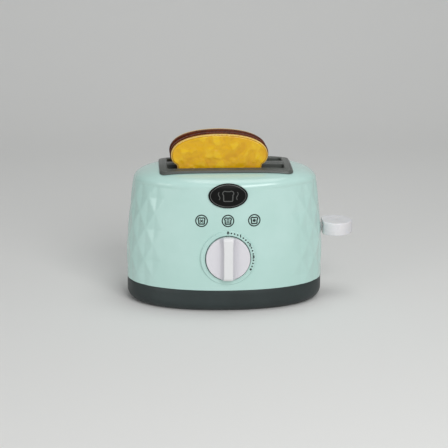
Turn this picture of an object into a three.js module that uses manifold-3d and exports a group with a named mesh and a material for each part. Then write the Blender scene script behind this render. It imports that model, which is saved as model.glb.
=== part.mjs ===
// Toy toaster with a wind-up dial timer, a sprung bread carriage and two slices of play toast.
// Millimetres, +Z up, +X to the lever side, -Y towards the dial; the origin is under the middle of the base.
import * as THREE from "three";
import { mergeVertices } from "three/addons/utils/BufferGeometryUtils.js";
import Module from "manifold-3d";

// Shared clearances and overruns
const gap = 0.3;
const slideGap = 0.6;
const overrun = 2;
const weldDistance = 1e-4;

// Body plan: a superellipse that narrows upwards
const slotEndToBody = 37.9;
const bodyHalfDepth = 53.8;
const planPower = 2.2;
const baseHeight = 20.4;
const shoulderHeight = 114;
const taperStartHeight = 50;
const widthTaper = 6.4;
const taperPower = 1.25;
const frontDraft = 7;

// Crown above the shoulder
const crownHeight = 12;
const shoulderReach = 34;
const crownExtraPower = 1.2;
const crownTurnShares = [0.2, 0.4, 0.56, 0.7, 0.82, 0.92];

// Casing shell and its diamond facets
const casingWall = 2.5;
const facetWidth = 18;
const facetStartHeight = 30.2;
const facetTopGap = 10.6;
const facetRise = 0.45;
const facetSink = 0.65;
const facetColumnsPerQuarter = 6;
const smoothColumnsPerQuarter = 5;
const facetRows = 6;

// Base tray
const baseFloor = 2.5;
const baseWall = 3;
const baseEdgeRadius = 9;
const lipHeight = 2.4;
const lipWall = 1.6;

// Top bezel
const bezelEndWidth = 7.8;
const bezelHalfDepth = 29.4;
const bezelCornerRadius = 6;
const bezelRise = 2.4;
const bezelNeckWall = 2.6;
const slotLength = 107;
const slotWidth = 15;
const slotOffset = 12.5;
const slotCornerRadius = 3;
const bezelNeckLift = 5;

// Bread wells
const wellWall = 1.5;
const wellBottom = 27;
const wellEarLength = 14;
const wellEarThickness = 2.5;
const wellEarDrop = 1;
const restSlitAbove = 1.8;

// Badge
const badgeHalfWidth = 17.8;
const badgeHalfHeight = 11.4;
const badgeThickness = 1.2;
const badgeDrop = 5.4;
const badgePinRadius = 1.5;
const badgePinOffset = 9;
const badgePinLength = 3.6;

// Dial boss, knob and shaft
const dialCentreHeight = 51;
const bossRadius = 25.2;
const bossProud = 0.8;
const knobRadius = 20.2;
const knobRimHeight = 2.9;
const knobGripHeight = 7.8;
const knobRidgeWidth = 8.4;
const knobFlankWidth = 18;
const knobCoveShare = 0.25;
const knobLift = 0.5;
const shaftRadius = 3;
const shaftFlatDepth = 0.8;
const shaftKnobReach = 5.5;
const dialTravelDegrees = 117;

// Timer case
const timerCaseRight = 20.5;
const timerCaseLeft = 27;
const timerCaseBottom = 20.5;
const timerCaseTop = 32;
const timerCaseWall = 1.5;
const timerCaseStandoff = 6;
const timerCaseDepth = 13;
const timerCornerRadius = 3;
const timerEarLength = 8;
const timerEarDrop = 6;

// Gear train
const gearModule = 0.9;
const mainTeeth = 36;
const firstPinionTeeth = 9;
const compoundTeeth = 27;
const fineModule = 0.7;
const escapePinionTeeth = 8;
const escapeTeeth = 15;
const escapeRadius = 6;
const ratchetRootShare = 0.75;
const ratchetBackShare = 0.8;
const gearThickness = 1.8;
const layerPitch = 3;
const compoundDirectionDegrees = 135;
const escapeDirectionDegrees = 45;
const arborRadius = 1.2;
const rootDepthShare = 1.2;
const tipReachShare = 0.8;
const toothRootShare = 0.29;
const toothTipShare = 0.13;
const palletReach = 8.6;
const palletSpreadDegrees = 40;
const palletWebWidth = 2.4;

// Mainspring
const ribbonThickness = 0.5;
const ribbonHeight = 3.4;
const mainspringTurns = 3.5;
const mainspringInnerRadius = 3.6;
const mainspringOuterRadius = 8.6;

// Snail cam and trip lever
const camLowRadius = 8;
const camRise = 6;
const camThickness = 2;
const camLeadDegrees = 12;
const tripPivotFromSlot = 4.5;
const tripPivotDrop = 30;
const tripThickness = 2;
const tripArmWidth = 5;
const tripMastWidth = 3;
const tripNoseRadius = 1.6;
const tripPinRadius = 1.4;
const tripPostWidth = 9;
const tripToothReach = 2.6;
const tripToothHeight = 3;
const tripNoseX = 1;
const tripPinHeadShare = 2;

// Carriage, rods and springs
const leverLowHeight = 28.2;
const breadRestDrop = 43.3;
const breadRestThickness = 4;
const breadRestWidth = 4;
const crossPlateFromSlot = 3;
const crossPlateThickness = 3;
const crossPlateHeight = 11;
const crossPlateDrop = 41.5;
const rodFromSlot = 12.5;
const rodOffset = 9;
const rodRadius = 1.5;
const rodSocketDepth = 4;
const rodSocketHeight = 8;
const bushRadius = 3.6;
const bushHeight = 11;
const leverArmWidth = 6;
const leverArmThickness = 5;
const leverDrop = 47.8;
const catchTabThickness = 2;
const catchTabWidth = 3.2;
const springWire = 1;
const springMeanRadius = 3;
const springCurls = 8;
const tripSpringWire = 0.5;
const tripSpringMeanRadius = 2.4;
const tripSpringCurls = 2;

// Lever paddle
const paddleStandoff = 0.9;
const paddleLength = 28.7;
const paddleHalfWidth = 15.2;
const paddleThickness = 11.2;
const paddleEdge = 2;
const paddleRootShare = 0.45;
const paddleSwellShare = 1.25;
const paddleShoulderShare = 0.3;
const paddleTipShare = 0.85;
const paddleNoseShare = 1.15;
const paddleSocketShare = 0.33;

// Toast
const toastEndRoom = 17;
const toastNeckNarrowing = 14;
const toastFootNarrowing = 17;
const toastHeight = 88.3;
const toastShoulderHeight = 68;
const toastNeckHeight = 55;
const toastCornerRadius = 8;
const toastShift = -6.6;
const crustThickness = 5.2;
const crumbThickness = 4.8;
const spreadThickness = 1.6;
const spreadInset = 2;
const crumbInset = 1;
const spreadRecess = 0.8;
const toastEdge = 0.8;
const rearLeanDegrees = 1.8;
const rearLeanShare = 0.43;
const toastCrownShare = 0.62;

// Screws
const screwRadius = 1.25;
const screwHoleRadius = 1.6;
const screwHeadRadius = 3;
const screwHeadHeight = 2;
const screwPostRadius = 5;
const baseScrewShare = 0.8;
const baseScrewY = 24;
const baseScrewLength = 24;
const basePostTop = 46;
const counterboreDepth = 7;
const wellScrewY = 16;
const wellScrewLength = 7;
const wellPostRadius = 3.6;
const wellPostReachShare = 0.7;
const coverScrewLength = 6;
const timerScrewLength = 4.5;
const screwCrownShare = 0.8;
const screwRimShare = 0.6;
const screwTipShare = 0.2;

// Drawing fineness
const roundSegments = 24;
const discSegments = 40;
const boltSegments = 10;
const screwSegments = 8;
const cornerSegments = 4;
const ellipseSegments = 8;
const edgeSteps = 4;
const wallSteps = 3;
const arcSamples = 400;
const camSteps = 30;
const camRestSteps = 14;
const curlSteps = 8;
const curlSides = 5;
const ribbonSteps = 16;

// Lengths that follow the slots
const bodyHalfWidth = slotLength / 2 + slotEndToBody;
const bezelHalfWidth = slotLength / 2 + bezelEndWidth;
const crossPlateX = slotLength / 2 + crossPlateFromSlot;
const rodX = slotLength / 2 + rodFromSlot;
const tripPivotX = slotLength / 2 + tripPivotFromSlot;
const baseScrewX = bodyHalfWidth * baseScrewShare;
const paddleInner = bodyHalfWidth + paddleStandoff;
const paddleOuter = paddleInner + paddleLength;
const toastWidth = slotLength - toastEndRoom;
const toastNeckWidth = toastWidth - toastNeckNarrowing;
const toastFootWidth = toastWidth - toastFootNarrowing;

// Heights that follow the shoulder
const facetRowPitch = (shoulderHeight - facetTopGap - facetStartHeight) / (facetRows - 1);
const bezelNeckBottom = shoulderHeight + bezelNeckLift;
const wellEarHeight = shoulderHeight - wellEarDrop;
const badgeCentreHeight = shoulderHeight - badgeDrop;
const badgeSkirtHeight = badgeCentreHeight - badgeHalfHeight - overrun;
const breadRestTop = shoulderHeight - breadRestDrop;
const crossPlateTop = shoulderHeight - crossPlateDrop;
const leverCentreHeight = shoulderHeight - leverDrop;
const carriageTravel = leverCentreHeight - leverLowHeight;

const colours = {
  mint: 0xbedfd7,
  charcoal: 0x464b4e,
  bezelGrey: 0x696c69,
  black: 0x1e1c1a,
  white: 0xe4e4e6,
  crumb: 0xf1cf87,
  spread: 0xd8b438,
  crust: 0x56280f,
  acetal: 0xe9e4d4,
  steel: 0xb8bcc0,
  brass: 0xc9a64a,
  smoke: 0x8f9499,
};

const wasm = await Module();
wasm.setup();

// Booleans between closed geometries

function toSolid(geometry) {
  const bare = geometry.clone();
  bare.deleteAttribute("normal");
  bare.deleteAttribute("uv");
  const merged = mergeVertices(bare, weldDistance);
  return new wasm.Manifold(
    new wasm.Mesh({
      numProp: 3,
      vertProperties: new Float32Array(merged.attributes.position.array),
      triVerts: new Uint32Array(merged.index.array),
    }),
  );
}

function toGeometry(solid) {
  const mesh = solid.getMesh();
  const positions = new Float32Array(mesh.numVert * 3);
  for (let i = 0; i < mesh.numVert; i++) {
    positions.set(mesh.vertProperties.subarray(i * mesh.numProp, i * mesh.numProp + 3), i * 3);
  }
  const geometry = new THREE.BufferGeometry();
  geometry.setAttribute("position", new THREE.BufferAttribute(positions, 3));
  geometry.setIndex(new THREE.BufferAttribute(new Uint32Array(mesh.triVerts), 1));
  const flat = geometry.toNonIndexed();
  flat.computeVertexNormals();
  return flat;
}

function combine(first, ...steps) {
  let solid = toSolid(first);
  for (const [action, geometry] of steps) {
    solid = solid[action](toSolid(geometry));
  }
  return toGeometry(solid);
}

// Simple shapes placed where they are needed

function box(low, high) {
  const size = high.map((value, axis) => value - low[axis]);
  const geometry = new THREE.BoxGeometry(...size);
  geometry.translate(...high.map((value, axis) => (value + low[axis]) / 2));
  return geometry;
}

function upright(radius, bottom, top, x = 0, y = 0, segments = roundSegments) {
  const geometry = new THREE.CylinderGeometry(radius, radius, top - bottom, segments);
  geometry.rotateX(Math.PI / 2);
  geometry.translate(x, y, (top + bottom) / 2);
  return geometry;
}

function revolved(outline, segments = boltSegments) {
  const points = outline.map(([radius, height]) => new THREE.Vector2(radius, height));
  const geometry = new THREE.LatheGeometry(points, segments);
  geometry.rotateX(Math.PI / 2);
  return geometry;
}

function extruded(shape, bottom, top, curveSegments = cornerSegments) {
  const geometry = new THREE.ExtrudeGeometry(shape, {
    depth: top - bottom,
    bevelEnabled: false,
    curveSegments,
  });
  geometry.translate(0, 0, bottom);
  return geometry;
}

function roundedRectangle(halfWidth, halfHeight, radius, x = 0, y = 0) {
  const shape = new THREE.Shape();
  shape.moveTo(x - halfWidth + radius, y - halfHeight);
  shape.lineTo(x + halfWidth - radius, y - halfHeight);
  shape.absarc(x + halfWidth - radius, y - halfHeight + radius, radius, -Math.PI / 2, 0);
  shape.lineTo(x + halfWidth, y + halfHeight - radius);
  shape.absarc(x + halfWidth - radius, y + halfHeight - radius, radius, 0, Math.PI / 2);
  shape.lineTo(x - halfWidth + radius, y + halfHeight);
  shape.absarc(x - halfWidth + radius, y + halfHeight - radius, radius, Math.PI / 2, Math.PI);
  shape.lineTo(x - halfWidth, y - halfHeight + radius);
  shape.absarc(x - halfWidth + radius, y - halfHeight + radius, radius, Math.PI, Math.PI * 1.5);
  return shape;
}

function ellipseShape(halfWidth, halfHeight) {
  const shape = new THREE.Shape();
  shape.absellipse(0, 0, halfWidth, halfHeight, 0, Math.PI * 2);
  return shape;
}

function bolt(radius, bottom, top, x, y) {
  return upright(radius, bottom, top, x, y, boltSegments);
}

function radians(degrees) {
  return THREE.MathUtils.degToRad(degrees);
}

// Body surface: levels of a superellipse, at a height, with half sizes and a power

const draftSlope = frontDraft / (shoulderHeight - baseHeight);
const draftAngle = Math.atan(draftSlope);

function faceDepth(z) {
  return bodyHalfDepth - draftSlope * (z - baseHeight);
}

function bodyLevel(z, grow = 0) {
  const rise = Math.max(0, (z - taperStartHeight) / (shoulderHeight - taperStartHeight));
  return {
    z,
    halfWidth: bodyHalfWidth - widthTaper * rise ** taperPower + grow,
    halfDepth: faceDepth(z) + grow,
    power: planPower,
  };
}

function crownLevel(turn, grow = 0) {
  const top = bodyLevel(shoulderHeight);
  return {
    z: shoulderHeight + (crownHeight + grow) * Math.sin(turn),
    halfWidth: top.halfWidth - shoulderReach * (1 - Math.cos(turn)) + grow,
    halfDepth: top.halfDepth * Math.sqrt(Math.cos(turn)) + grow,
    power: planPower + crownExtraPower * (turn / (Math.PI / 2)),
  };
}

function onSuperellipse(level, turn) {
  const cosine = Math.cos(turn);
  const sine = Math.sin(turn);
  const share = 2 / level.power;
  return [
    level.halfWidth * Math.sign(cosine) * Math.abs(cosine) ** share,
    level.halfDepth * Math.sign(sine) * Math.abs(sine) ** share,
  ];
}

// Turns of the columns in one quarter: facet columns at half a facet's width, then even smooth ones

function quarterTurns() {
  const level = bodyLevel(shoulderHeight / 2);
  const lengths = [0];
  const turns = [0];
  let last = onSuperellipse(level, 0);
  for (let i = 1; i <= arcSamples; i++) {
    const turn = ((Math.PI / 2) * i) / arcSamples;
    const next = onSuperellipse(level, turn);
    lengths.push(lengths[i - 1] + Math.hypot(next[0] - last[0], next[1] - last[1]));
    turns.push(turn);
    last = next;
  }
  const facetEnd = (facetWidth / 2) * facetColumnsPerQuarter;
  const wanted = [];
  for (let i = 0; i < facetColumnsPerQuarter; i++) {
    wanted.push((facetWidth / 2) * i);
  }
  for (let i = 0; i < smoothColumnsPerQuarter; i++) {
    wanted.push(facetEnd + ((lengths[arcSamples] - facetEnd) * i) / smoothColumnsPerQuarter);
  }
  return wanted.map((length) => {
    const index = Math.max(1, lengths.findIndex((value) => value >= length));
    const share = (length - lengths[index - 1]) / (lengths[index] - lengths[index - 1]);
    return turns[index - 1] + share * (turns[index] - turns[index - 1]);
  });
}

function columnTurns() {
  const quarter = quarterTurns();
  const mirrored = [Math.PI / 2, ...quarter.slice(1).reverse()];
  const turns = [];
  quarter.forEach((turn) => turns.push(turn));
  mirrored.forEach((turn) => turns.push(Math.PI - turn));
  quarter.forEach((turn) => turns.push(Math.PI + turn));
  mirrored.forEach((turn) => turns.push(Math.PI * 2 - turn));
  return turns;
}

const columns = columnTurns();

// How far a column is from the middle of its end of the body, counted in columns
function columnFromEnd(index) {
  const half = columns.length / 2;
  const along = index % half;
  return Math.min(along, half - along);
}

// Whether a crossing stands out; the facets at the end away from the lever are half a diamond higher
function standsOut(columnIndex, rowIndex) {
  const half = columns.length / 2;
  const farEnd = Math.abs(columnIndex - half) < half / 2 ? 1 : 0;
  return (columnFromEnd(columnIndex) + rowIndex + farEnd) % 2 === 0;
}

function facetOffset(columnIndex, rowIndex) {
  if (columnFromEnd(columnIndex) >= facetColumnsPerQuarter) {
    return 0;
  }
  return standsOut(columnIndex, rowIndex) ? facetRise : -facetSink;
}

function ringOf(level, rowIndex = null) {
  return columns.map((turn, index) => {
    const [x, y] = onSuperellipse(level, turn);
    const offset = rowIndex === null ? 0 : facetOffset(index, rowIndex);
    const normal = new THREE.Vector2(
      Math.sign(x) * (Math.abs(x) / level.halfWidth) ** (level.power - 1) / level.halfWidth,
      Math.sign(y) * (Math.abs(y) / level.halfDepth) ** (level.power - 1) / level.halfDepth,
    ).normalize();
    return [x + normal.x * offset, y + normal.y * offset, level.z];
  });
}

// A closed skin through rings with as many points each; a facet row says which way its cells are split

function skin(rings, facetRowOf = () => null) {
  const count = rings[0].length;
  const positions = rings.flat(2);
  const faces = [];
  rings.slice(1).forEach((_, i) => {
    const row = facetRowOf(i);
    for (let j = 0; j < count; j++) {
      const next = (j + 1) % count;
      const a = i * count + j;
      const b = i * count + next;
      const c = (i + 1) * count + next;
      const d = (i + 1) * count + j;
      const nodeAtA = row !== null && standsOut(j, row);
      if (nodeAtA) {
        faces.push(a, b, c, a, c, d);
      } else {
        faces.push(a, b, d, b, c, d);
      }
    }
  });
  const bottom = positions.length / 3;
  positions.push(0, 0, rings[0][0][2]);
  positions.push(0, 0, rings[rings.length - 1][0][2]);
  const last = (rings.length - 1) * count;
  for (let j = 0; j < count; j++) {
    const next = (j + 1) % count;
    faces.push(bottom, next, j);
    faces.push(bottom + 1, last + j, last + next);
  }
  const geometry = new THREE.BufferGeometry();
  geometry.setAttribute("position", new THREE.Float32BufferAttribute(positions, 3));
  geometry.setIndex(faces);
  return geometry;
}

const crownTurns = crownTurnShares.map((share) => (share * Math.PI) / 2);

function facetRowHeight(row) {
  return facetStartHeight + facetRowPitch * row;
}

function casingOuter() {
  const rings = [ringOf(bodyLevel(baseHeight + gap))];
  for (let row = 0; row < facetRows; row++) {
    rings.push(ringOf(bodyLevel(facetRowHeight(row)), row));
  }
  rings.push(ringOf(bodyLevel(shoulderHeight)));
  crownTurns.forEach((turn) => rings.push(ringOf(crownLevel(turn))));
  return skin(rings, (i) => (i <= facetRows ? i - 1 : null));
}

function crownedSolid(bottom, grow) {
  const rings = [ringOf(bodyLevel(bottom, grow))];
  if (bottom < taperStartHeight) {
    for (let i = 0; i < wallSteps; i++) {
      const z = taperStartHeight + ((shoulderHeight - taperStartHeight) * i) / wallSteps;
      rings.push(ringOf(bodyLevel(z, grow)));
    }
  }
  rings.push(ringOf(bodyLevel(shoulderHeight, grow)));
  crownTurns.forEach((turn) => rings.push(ringOf(crownLevel(turn, grow))));
  return skin(rings);
}

// Frames square to the drafted front face: local z points out of the face, local y up along it

function frontFrame(height) {
  const frame = new THREE.Matrix4().makeRotationX(Math.PI / 2 - draftAngle);
  frame.setPosition(0, -faceDepth(height), height);
  return frame;
}

const dialFrame = frontFrame(dialCentreHeight);
const badgeFrame = frontFrame(badgeCentreHeight);

function placed(geometry, frame) {
  return geometry.clone().applyMatrix4(frame);
}

// Places shared by pieces that meet

const timerFront = -timerCaseStandoff;
const timerBack = timerFront - timerCaseDepth;
const coverBack = timerBack - gap - timerCaseWall;
const camFront = coverBack - gap;
const camBack = camFront - camThickness;
const timerEarLeftX = -(timerCaseLeft + timerEarLength / 2);
const timerEarRightX = timerCaseRight + timerEarLength / 2;
const mainLayerTop = timerFront - timerCaseWall - slideGap;
const fineLayerTop = mainLayerTop - layerPitch;
const escapeLayerTop = fineLayerTop - layerPitch;
const mainPitchRadius = (gearModule * mainTeeth) / 2;
const firstPinionPitchRadius = (gearModule * firstPinionTeeth) / 2;
const compoundPitchRadius = (fineModule * compoundTeeth) / 2;
const escapePinionPitchRadius = (fineModule * escapePinionTeeth) / 2;
const compoundDirection = radians(compoundDirectionDegrees);
const escapeDirection = radians(escapeDirectionDegrees);
const compoundDistance = mainPitchRadius + firstPinionPitchRadius;
const compoundX = compoundDistance * Math.cos(compoundDirection);
const compoundY = compoundDistance * Math.sin(compoundDirection);
const escapeDistance = compoundPitchRadius + escapePinionPitchRadius;
const escapeX = compoundX + escapeDistance * Math.cos(escapeDirection);
const escapeY = compoundY + escapeDistance * Math.sin(escapeDirection);
const palletX = escapeX + palletReach;
const palletY = escapeY;
const coverScrewPlaces = [
  [-timerCaseLeft + wellPostRadius, -timerCaseBottom + wellPostRadius],
  [timerCaseRight - wellPostRadius, timerCaseTop - wellPostRadius],
];
const wellEarTop = wellEarHeight + wellEarThickness;
const openingHalfWidth = slotLength / 2 + bezelNeckWall + gap;
const openingHalfDepth = slotOffset + slotWidth / 2 + bezelNeckWall + gap;
const leverSlotHalfWidth = leverArmWidth / 2 + slideGap;
const leverSlotBottom = leverCentreHeight - carriageTravel - leverArmThickness / 2 - slideGap;
const leverSlotTop = leverCentreHeight + leverArmThickness / 2 + slideGap;
const tripPlane = camFront;
const tripNoseY = -(camLowRadius + slideGap + tripNoseRadius);
const hookFaceX = crossPlateX + catchTabWidth + tripToothReach + slideGap;
const hookHeight = crossPlateTop - carriageTravel + slideGap;
const hookDrop = hookHeight - dialCentreHeight - tripPlane * Math.sin(draftAngle);
const tripHookRise = tripPivotDrop + hookDrop / Math.cos(draftAngle);
const tripSpringHeight = tripSpringWire + tripSpringCurls * (tripSpringWire + tripSpringWire);
const springRoom = gap + tripSpringHeight + gap;
const paddleReach = (paddleOuter - paddleInner) * paddleSocketShare;

// Casing

function casingPosts() {
  const postBottom = baseHeight + lipHeight + gap + gap;
  const holeTop = basePostTop - screwPostRadius;
  const wellPostTop = shoulderHeight + crownHeight * wellPostReachShare;
  const steps = [];
  for (const sideX of [-1, 1]) {
    for (const sideY of [-1, 1]) {
      const x = sideX * baseScrewX;
      const y = sideY * baseScrewY;
      const wellX = sideX * rodX;
      const wellY = sideY * wellScrewY;
      steps.push(["add", bolt(screwPostRadius, postBottom, basePostTop, x, y)]);
      steps.push(["add", bolt(wellPostRadius, wellEarTop + gap, wellPostTop, wellX, wellY)]);
      steps.push(["subtract", bolt(screwHoleRadius, baseHeight, holeTop, x, y)]);
      steps.push(["subtract", bolt(screwHoleRadius, wellEarTop, wellPostTop - casingWall, wellX, wellY)]);
    }
  }
  for (const x of [timerEarLeftX, timerEarRightX]) {
    const post = bolt(wellPostRadius, timerFront + gap, -casingWall, x, -timerEarDrop);
    const hole = bolt(screwHoleRadius, timerFront, -casingWall - gap, x, -timerEarDrop);
    steps.push(["add", placed(post, dialFrame)]);
    steps.push(["subtract", placed(hole, dialFrame)]);
  }
  return steps;
}

function casingGeometry() {
  const boss = upright(bossRadius, -casingWall, bossProud, 0, 0, discSegments);
  const shaftHole = upright(shaftRadius + gap, -timerCaseStandoff, overrun);
  const opening = roundedRectangle(openingHalfWidth, openingHalfDepth, slotCornerRadius + bezelNeckWall);
  const openingTop = shoulderHeight + crownHeight + overrun;
  const leverSlot = box(
    [bodyHalfWidth - shoulderReach, -leverSlotHalfWidth, leverSlotBottom],
    [paddleOuter, leverSlotHalfWidth, leverSlotTop],
  );
  const steps = [
    ["subtract", crownedSolid(baseHeight - overrun, -casingWall)],
    ["add", placed(boss, dialFrame)],
    ...casingPosts(),
    ["subtract", placed(shaftHole, dialFrame)],
    ["subtract", extruded(opening, shoulderHeight, openingTop)],
    ["subtract", leverSlot],
  ];
  for (const x of [-badgePinOffset, badgePinOffset]) {
    const hole = bolt(badgePinRadius + gap, -casingWall - overrun, overrun, x, 0);
    steps.push(["subtract", placed(hole, badgeFrame)]);
  }
  return combine(casingOuter(), ...steps);
}

// Base tray with its lip, bosses, rod sockets and the trip lever's post

function trayLevel(z, inset) {
  return {
    z,
    halfWidth: bodyHalfWidth - inset,
    halfDepth: faceDepth(z) - inset,
    power: planPower,
  };
}

function baseOuter() {
  const rings = [];
  for (let i = 0; i <= edgeSteps; i++) {
    const turn = ((Math.PI / 2) * i) / edgeSteps;
    const inset = baseEdgeRadius * (1 - Math.sin(turn));
    rings.push(ringOf(trayLevel(baseEdgeRadius * (1 - Math.cos(turn)), inset)));
  }
  rings.push(ringOf(trayLevel(baseHeight, 0)));
  return skin(rings);
}

function baseHollow(inset, bottom, top) {
  return skin([
    ringOf(trayLevel(bottom, inset + baseEdgeRadius / 2)),
    ringOf(trayLevel(baseEdgeRadius, inset)),
    ringOf(trayLevel(top, inset)),
  ]);
}

function lipSkirt() {
  const inset = casingWall + gap;
  return skin([ringOf(trayLevel(baseEdgeRadius, inset)), ringOf(trayLevel(baseHeight + lipHeight, inset))]);
}

function lipRing() {
  const inset = casingWall + gap + lipWall;
  const bottom = baseEdgeRadius - overrun;
  const top = baseHeight + lipHeight + overrun;
  const hollow = skin([ringOf(trayLevel(bottom, inset)), ringOf(trayLevel(top, inset))]);
  return combine(lipSkirt(), ["subtract", hollow]);
}

function withinTray(geometry) {
  return combine(geometry, ["intersect", combine(baseOuter(), ["add", lipSkirt()])]);
}

function baseBosses() {
  const top = baseHeight + lipHeight;
  const steps = [];
  for (const sideX of [-1, 1]) {
    for (const sideY of [-1, 1]) {
      const x = sideX * baseScrewX;
      const y = sideY * baseScrewY;
      steps.push(["add", withinTray(bolt(screwPostRadius, baseFloor / 2, top, x, y))]);
      steps.push(["subtract", bolt(screwHoleRadius, -overrun, top + overrun, x, y)]);
      steps.push(["subtract", bolt(screwHeadRadius + gap, -overrun, counterboreDepth, x, y)]);
    }
  }
  for (const side of [-1, 1]) {
    const y = side * rodOffset;
    steps.push(["add", bolt(bushRadius, baseFloor / 2, rodSocketHeight, rodX, y)]);
    steps.push(["subtract", bolt(rodRadius + gap, rodSocketDepth, rodSocketHeight + overrun, rodX, y)]);
  }
  return steps;
}

function tripPost() {
  const holeTop = tripPlane - tripThickness;
  const pivot = new THREE.Vector3(tripPivotX, -tripPivotDrop, holeTop).applyMatrix4(dialFrame);
  const half = tripPostWidth / 2;
  const front = pivot.y + gap + half * draftSlope;
  const post = box(
    [pivot.x - half, front, baseFloor / 2],
    [pivot.x + half, front + half, pivot.z + half],
  );
  const hole = bolt(tripPinRadius + gap, holeTop - tripPostWidth, tripPlane, tripPivotX, -tripPivotDrop);
  return combine(post, ["subtract", placed(hole, dialFrame)]);
}

function baseGeometry() {
  return combine(
    baseOuter(),
    ["subtract", baseHollow(baseWall, baseFloor, baseHeight + overrun)],
    ["add", lipRing()],
    ...baseBosses(),
    ["add", tripPost()],
  );
}

// Bezel: an arched plate over the crown, a neck through the opening and two slots

function slotShape(side) {
  return roundedRectangle(slotLength / 2, slotWidth / 2, slotCornerRadius, 0, side * slotOffset);
}

function bezelGeometry() {
  const top = shoulderHeight + crownHeight + bezelRise + overrun;
  const plate = extruded(
    roundedRectangle(bezelHalfWidth, bezelHalfDepth, bezelCornerRadius),
    shoulderHeight,
    top,
  );
  const neck = extruded(
    roundedRectangle(openingHalfWidth - gap, openingHalfDepth - gap, slotCornerRadius + bezelNeckWall),
    bezelNeckBottom,
    shoulderHeight + crownHeight,
  );
  const arched = combine(
    plate,
    ["intersect", crownedSolid(shoulderHeight - overrun / 2, bezelRise)],
    ["subtract", crownedSolid(shoulderHeight - overrun, gap)],
  );
  const steps = [["add", neck]];
  for (const side of [-1, 1]) {
    steps.push(["subtract", extruded(slotShape(side), shoulderHeight, top)]);
  }
  return combine(arched, ...steps);
}

// Badge: an oval plate that follows the casing, with two pins pressed through it

function badgeGeometry() {
  const oval = extruded(
    ellipseShape(badgeHalfWidth, badgeHalfHeight),
    -badgePinLength,
    badgePinLength,
    ellipseSegments,
  );
  const steps = [
    ["intersect", placed(oval, badgeFrame)],
    ["subtract", crownedSolid(badgeSkirtHeight - overrun, gap)],
  ];
  for (const x of [-badgePinOffset, badgePinOffset]) {
    const pin = bolt(badgePinRadius, gap - badgePinLength, gap + badgeThickness / 2, x, 0);
    steps.push(["add", placed(pin, badgeFrame)]);
  }
  return combine(crownedSolid(badgeSkirtHeight, gap + badgeThickness), ...steps);
}

// Knob: a low drum whose grip bar rises between two coved flanks

function knobGeometry() {
  const back = bossProud + knobLift;
  const rim = back + knobRimHeight;
  const top = back + knobGripHeight;
  const ridge = knobRidgeWidth / 2;
  const flank = knobFlankWidth / 2;
  const cove = ridge + (flank - ridge) * knobCoveShare;
  const profile = new THREE.Shape();
  profile.moveTo(-knobRadius - overrun, back);
  profile.lineTo(knobRadius + overrun, back);
  profile.lineTo(knobRadius + overrun, rim);
  profile.lineTo(flank, rim);
  profile.quadraticCurveTo(cove, rim, ridge, top);
  profile.lineTo(-ridge, top);
  profile.quadraticCurveTo(-cove, rim, -flank, rim);
  profile.lineTo(-knobRadius - overrun, rim);
  profile.closePath();
  const bar = extruded(profile, -knobRadius - overrun, knobRadius + overrun);
  bar.rotateX(Math.PI / 2);
  const drum = upright(knobRadius, back, top, 0, 0, discSegments);
  const bore = upright(shaftRadius + gap, back - overrun, back + shaftKnobReach + gap, 0, 0);
  return combine(drum, ["intersect", bar], ["subtract", bore]);
}

// Timer shaft, with a flat where the knob grips it

function shaftGeometry() {
  const top = bossProud + knobLift + shaftKnobReach;
  const flatBottom = bossProud + knobLift;
  const shaft = upright(shaftRadius, camBack - gap, top);
  const flat = box(
    [-shaftRadius - overrun, shaftRadius - shaftFlatDepth, flatBottom],
    [shaftRadius + overrun, shaftRadius + overrun, top + overrun],
  );
  return combine(shaft, ["subtract", flat]);
}

// Timer case: a cup that opens to the back, with two ears

function timerCaseShape(inset) {
  const halfWidth = (timerCaseLeft + timerCaseRight) / 2 - inset;
  const halfHeight = (timerCaseTop + timerCaseBottom) / 2 - inset;
  const x = (timerCaseRight - timerCaseLeft) / 2;
  const y = (timerCaseTop - timerCaseBottom) / 2;
  return roundedRectangle(halfWidth, halfHeight, timerCornerRadius - inset, x, y);
}

function arborHoles(bottom, top) {
  const places = [
    [compoundX, compoundY],
    [escapeX, escapeY],
    [palletX, palletY],
  ];
  return places.map(([x, y]) => ["subtract", bolt(arborRadius + gap, bottom, top, x, y)]);
}

function timerEars() {
  const reach = (timerEarLength + timerCaseWall) / 2;
  const bottom = timerFront - timerCaseWall;
  const steps = [];
  for (const x of [timerEarLeftX, timerEarRightX]) {
    const ear = box(
      [x - reach, -timerEarDrop - reach, bottom],
      [x + reach, -timerEarDrop + reach, timerFront],
    );
    steps.push(["add", ear]);
    steps.push(["subtract", bolt(screwHoleRadius, bottom - overrun, timerFront + overrun, x, -timerEarDrop)]);
  }
  return steps;
}

function timerCaseGeometry() {
  const innerFace = timerFront - timerCaseWall;
  const steps = [["subtract", extruded(timerCaseShape(timerCaseWall), timerBack - overrun, innerFace)]];
  for (const [x, y] of coverScrewPlaces) {
    steps.push(["add", bolt(wellPostRadius, timerBack, innerFace + timerCaseWall / 2, x, y)]);
    steps.push(["subtract", bolt(screwHoleRadius, timerBack - overrun, timerBack + coverScrewLength, x, y)]);
  }
  steps.push(...timerEars());
  steps.push(["subtract", upright(shaftRadius + gap, innerFace - overrun, timerFront + overrun)]);
  steps.push(...arborHoles(innerFace - overrun, timerFront + overrun));
  return combine(extruded(timerCaseShape(0), timerBack, timerFront), ...steps);
}

function timerCoverGeometry() {
  const steps = [["subtract", upright(shaftRadius + gap, coverBack - overrun, timerBack)]];
  for (const [x, y] of coverScrewPlaces) {
    steps.push(["subtract", bolt(screwHoleRadius, coverBack - overrun, timerBack, x, y)]);
  }
  steps.push(...arborHoles(coverBack - overrun, timerBack));
  return combine(extruded(timerCaseShape(0), coverBack, timerBack - gap), ...steps);
}

// Gears

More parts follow.
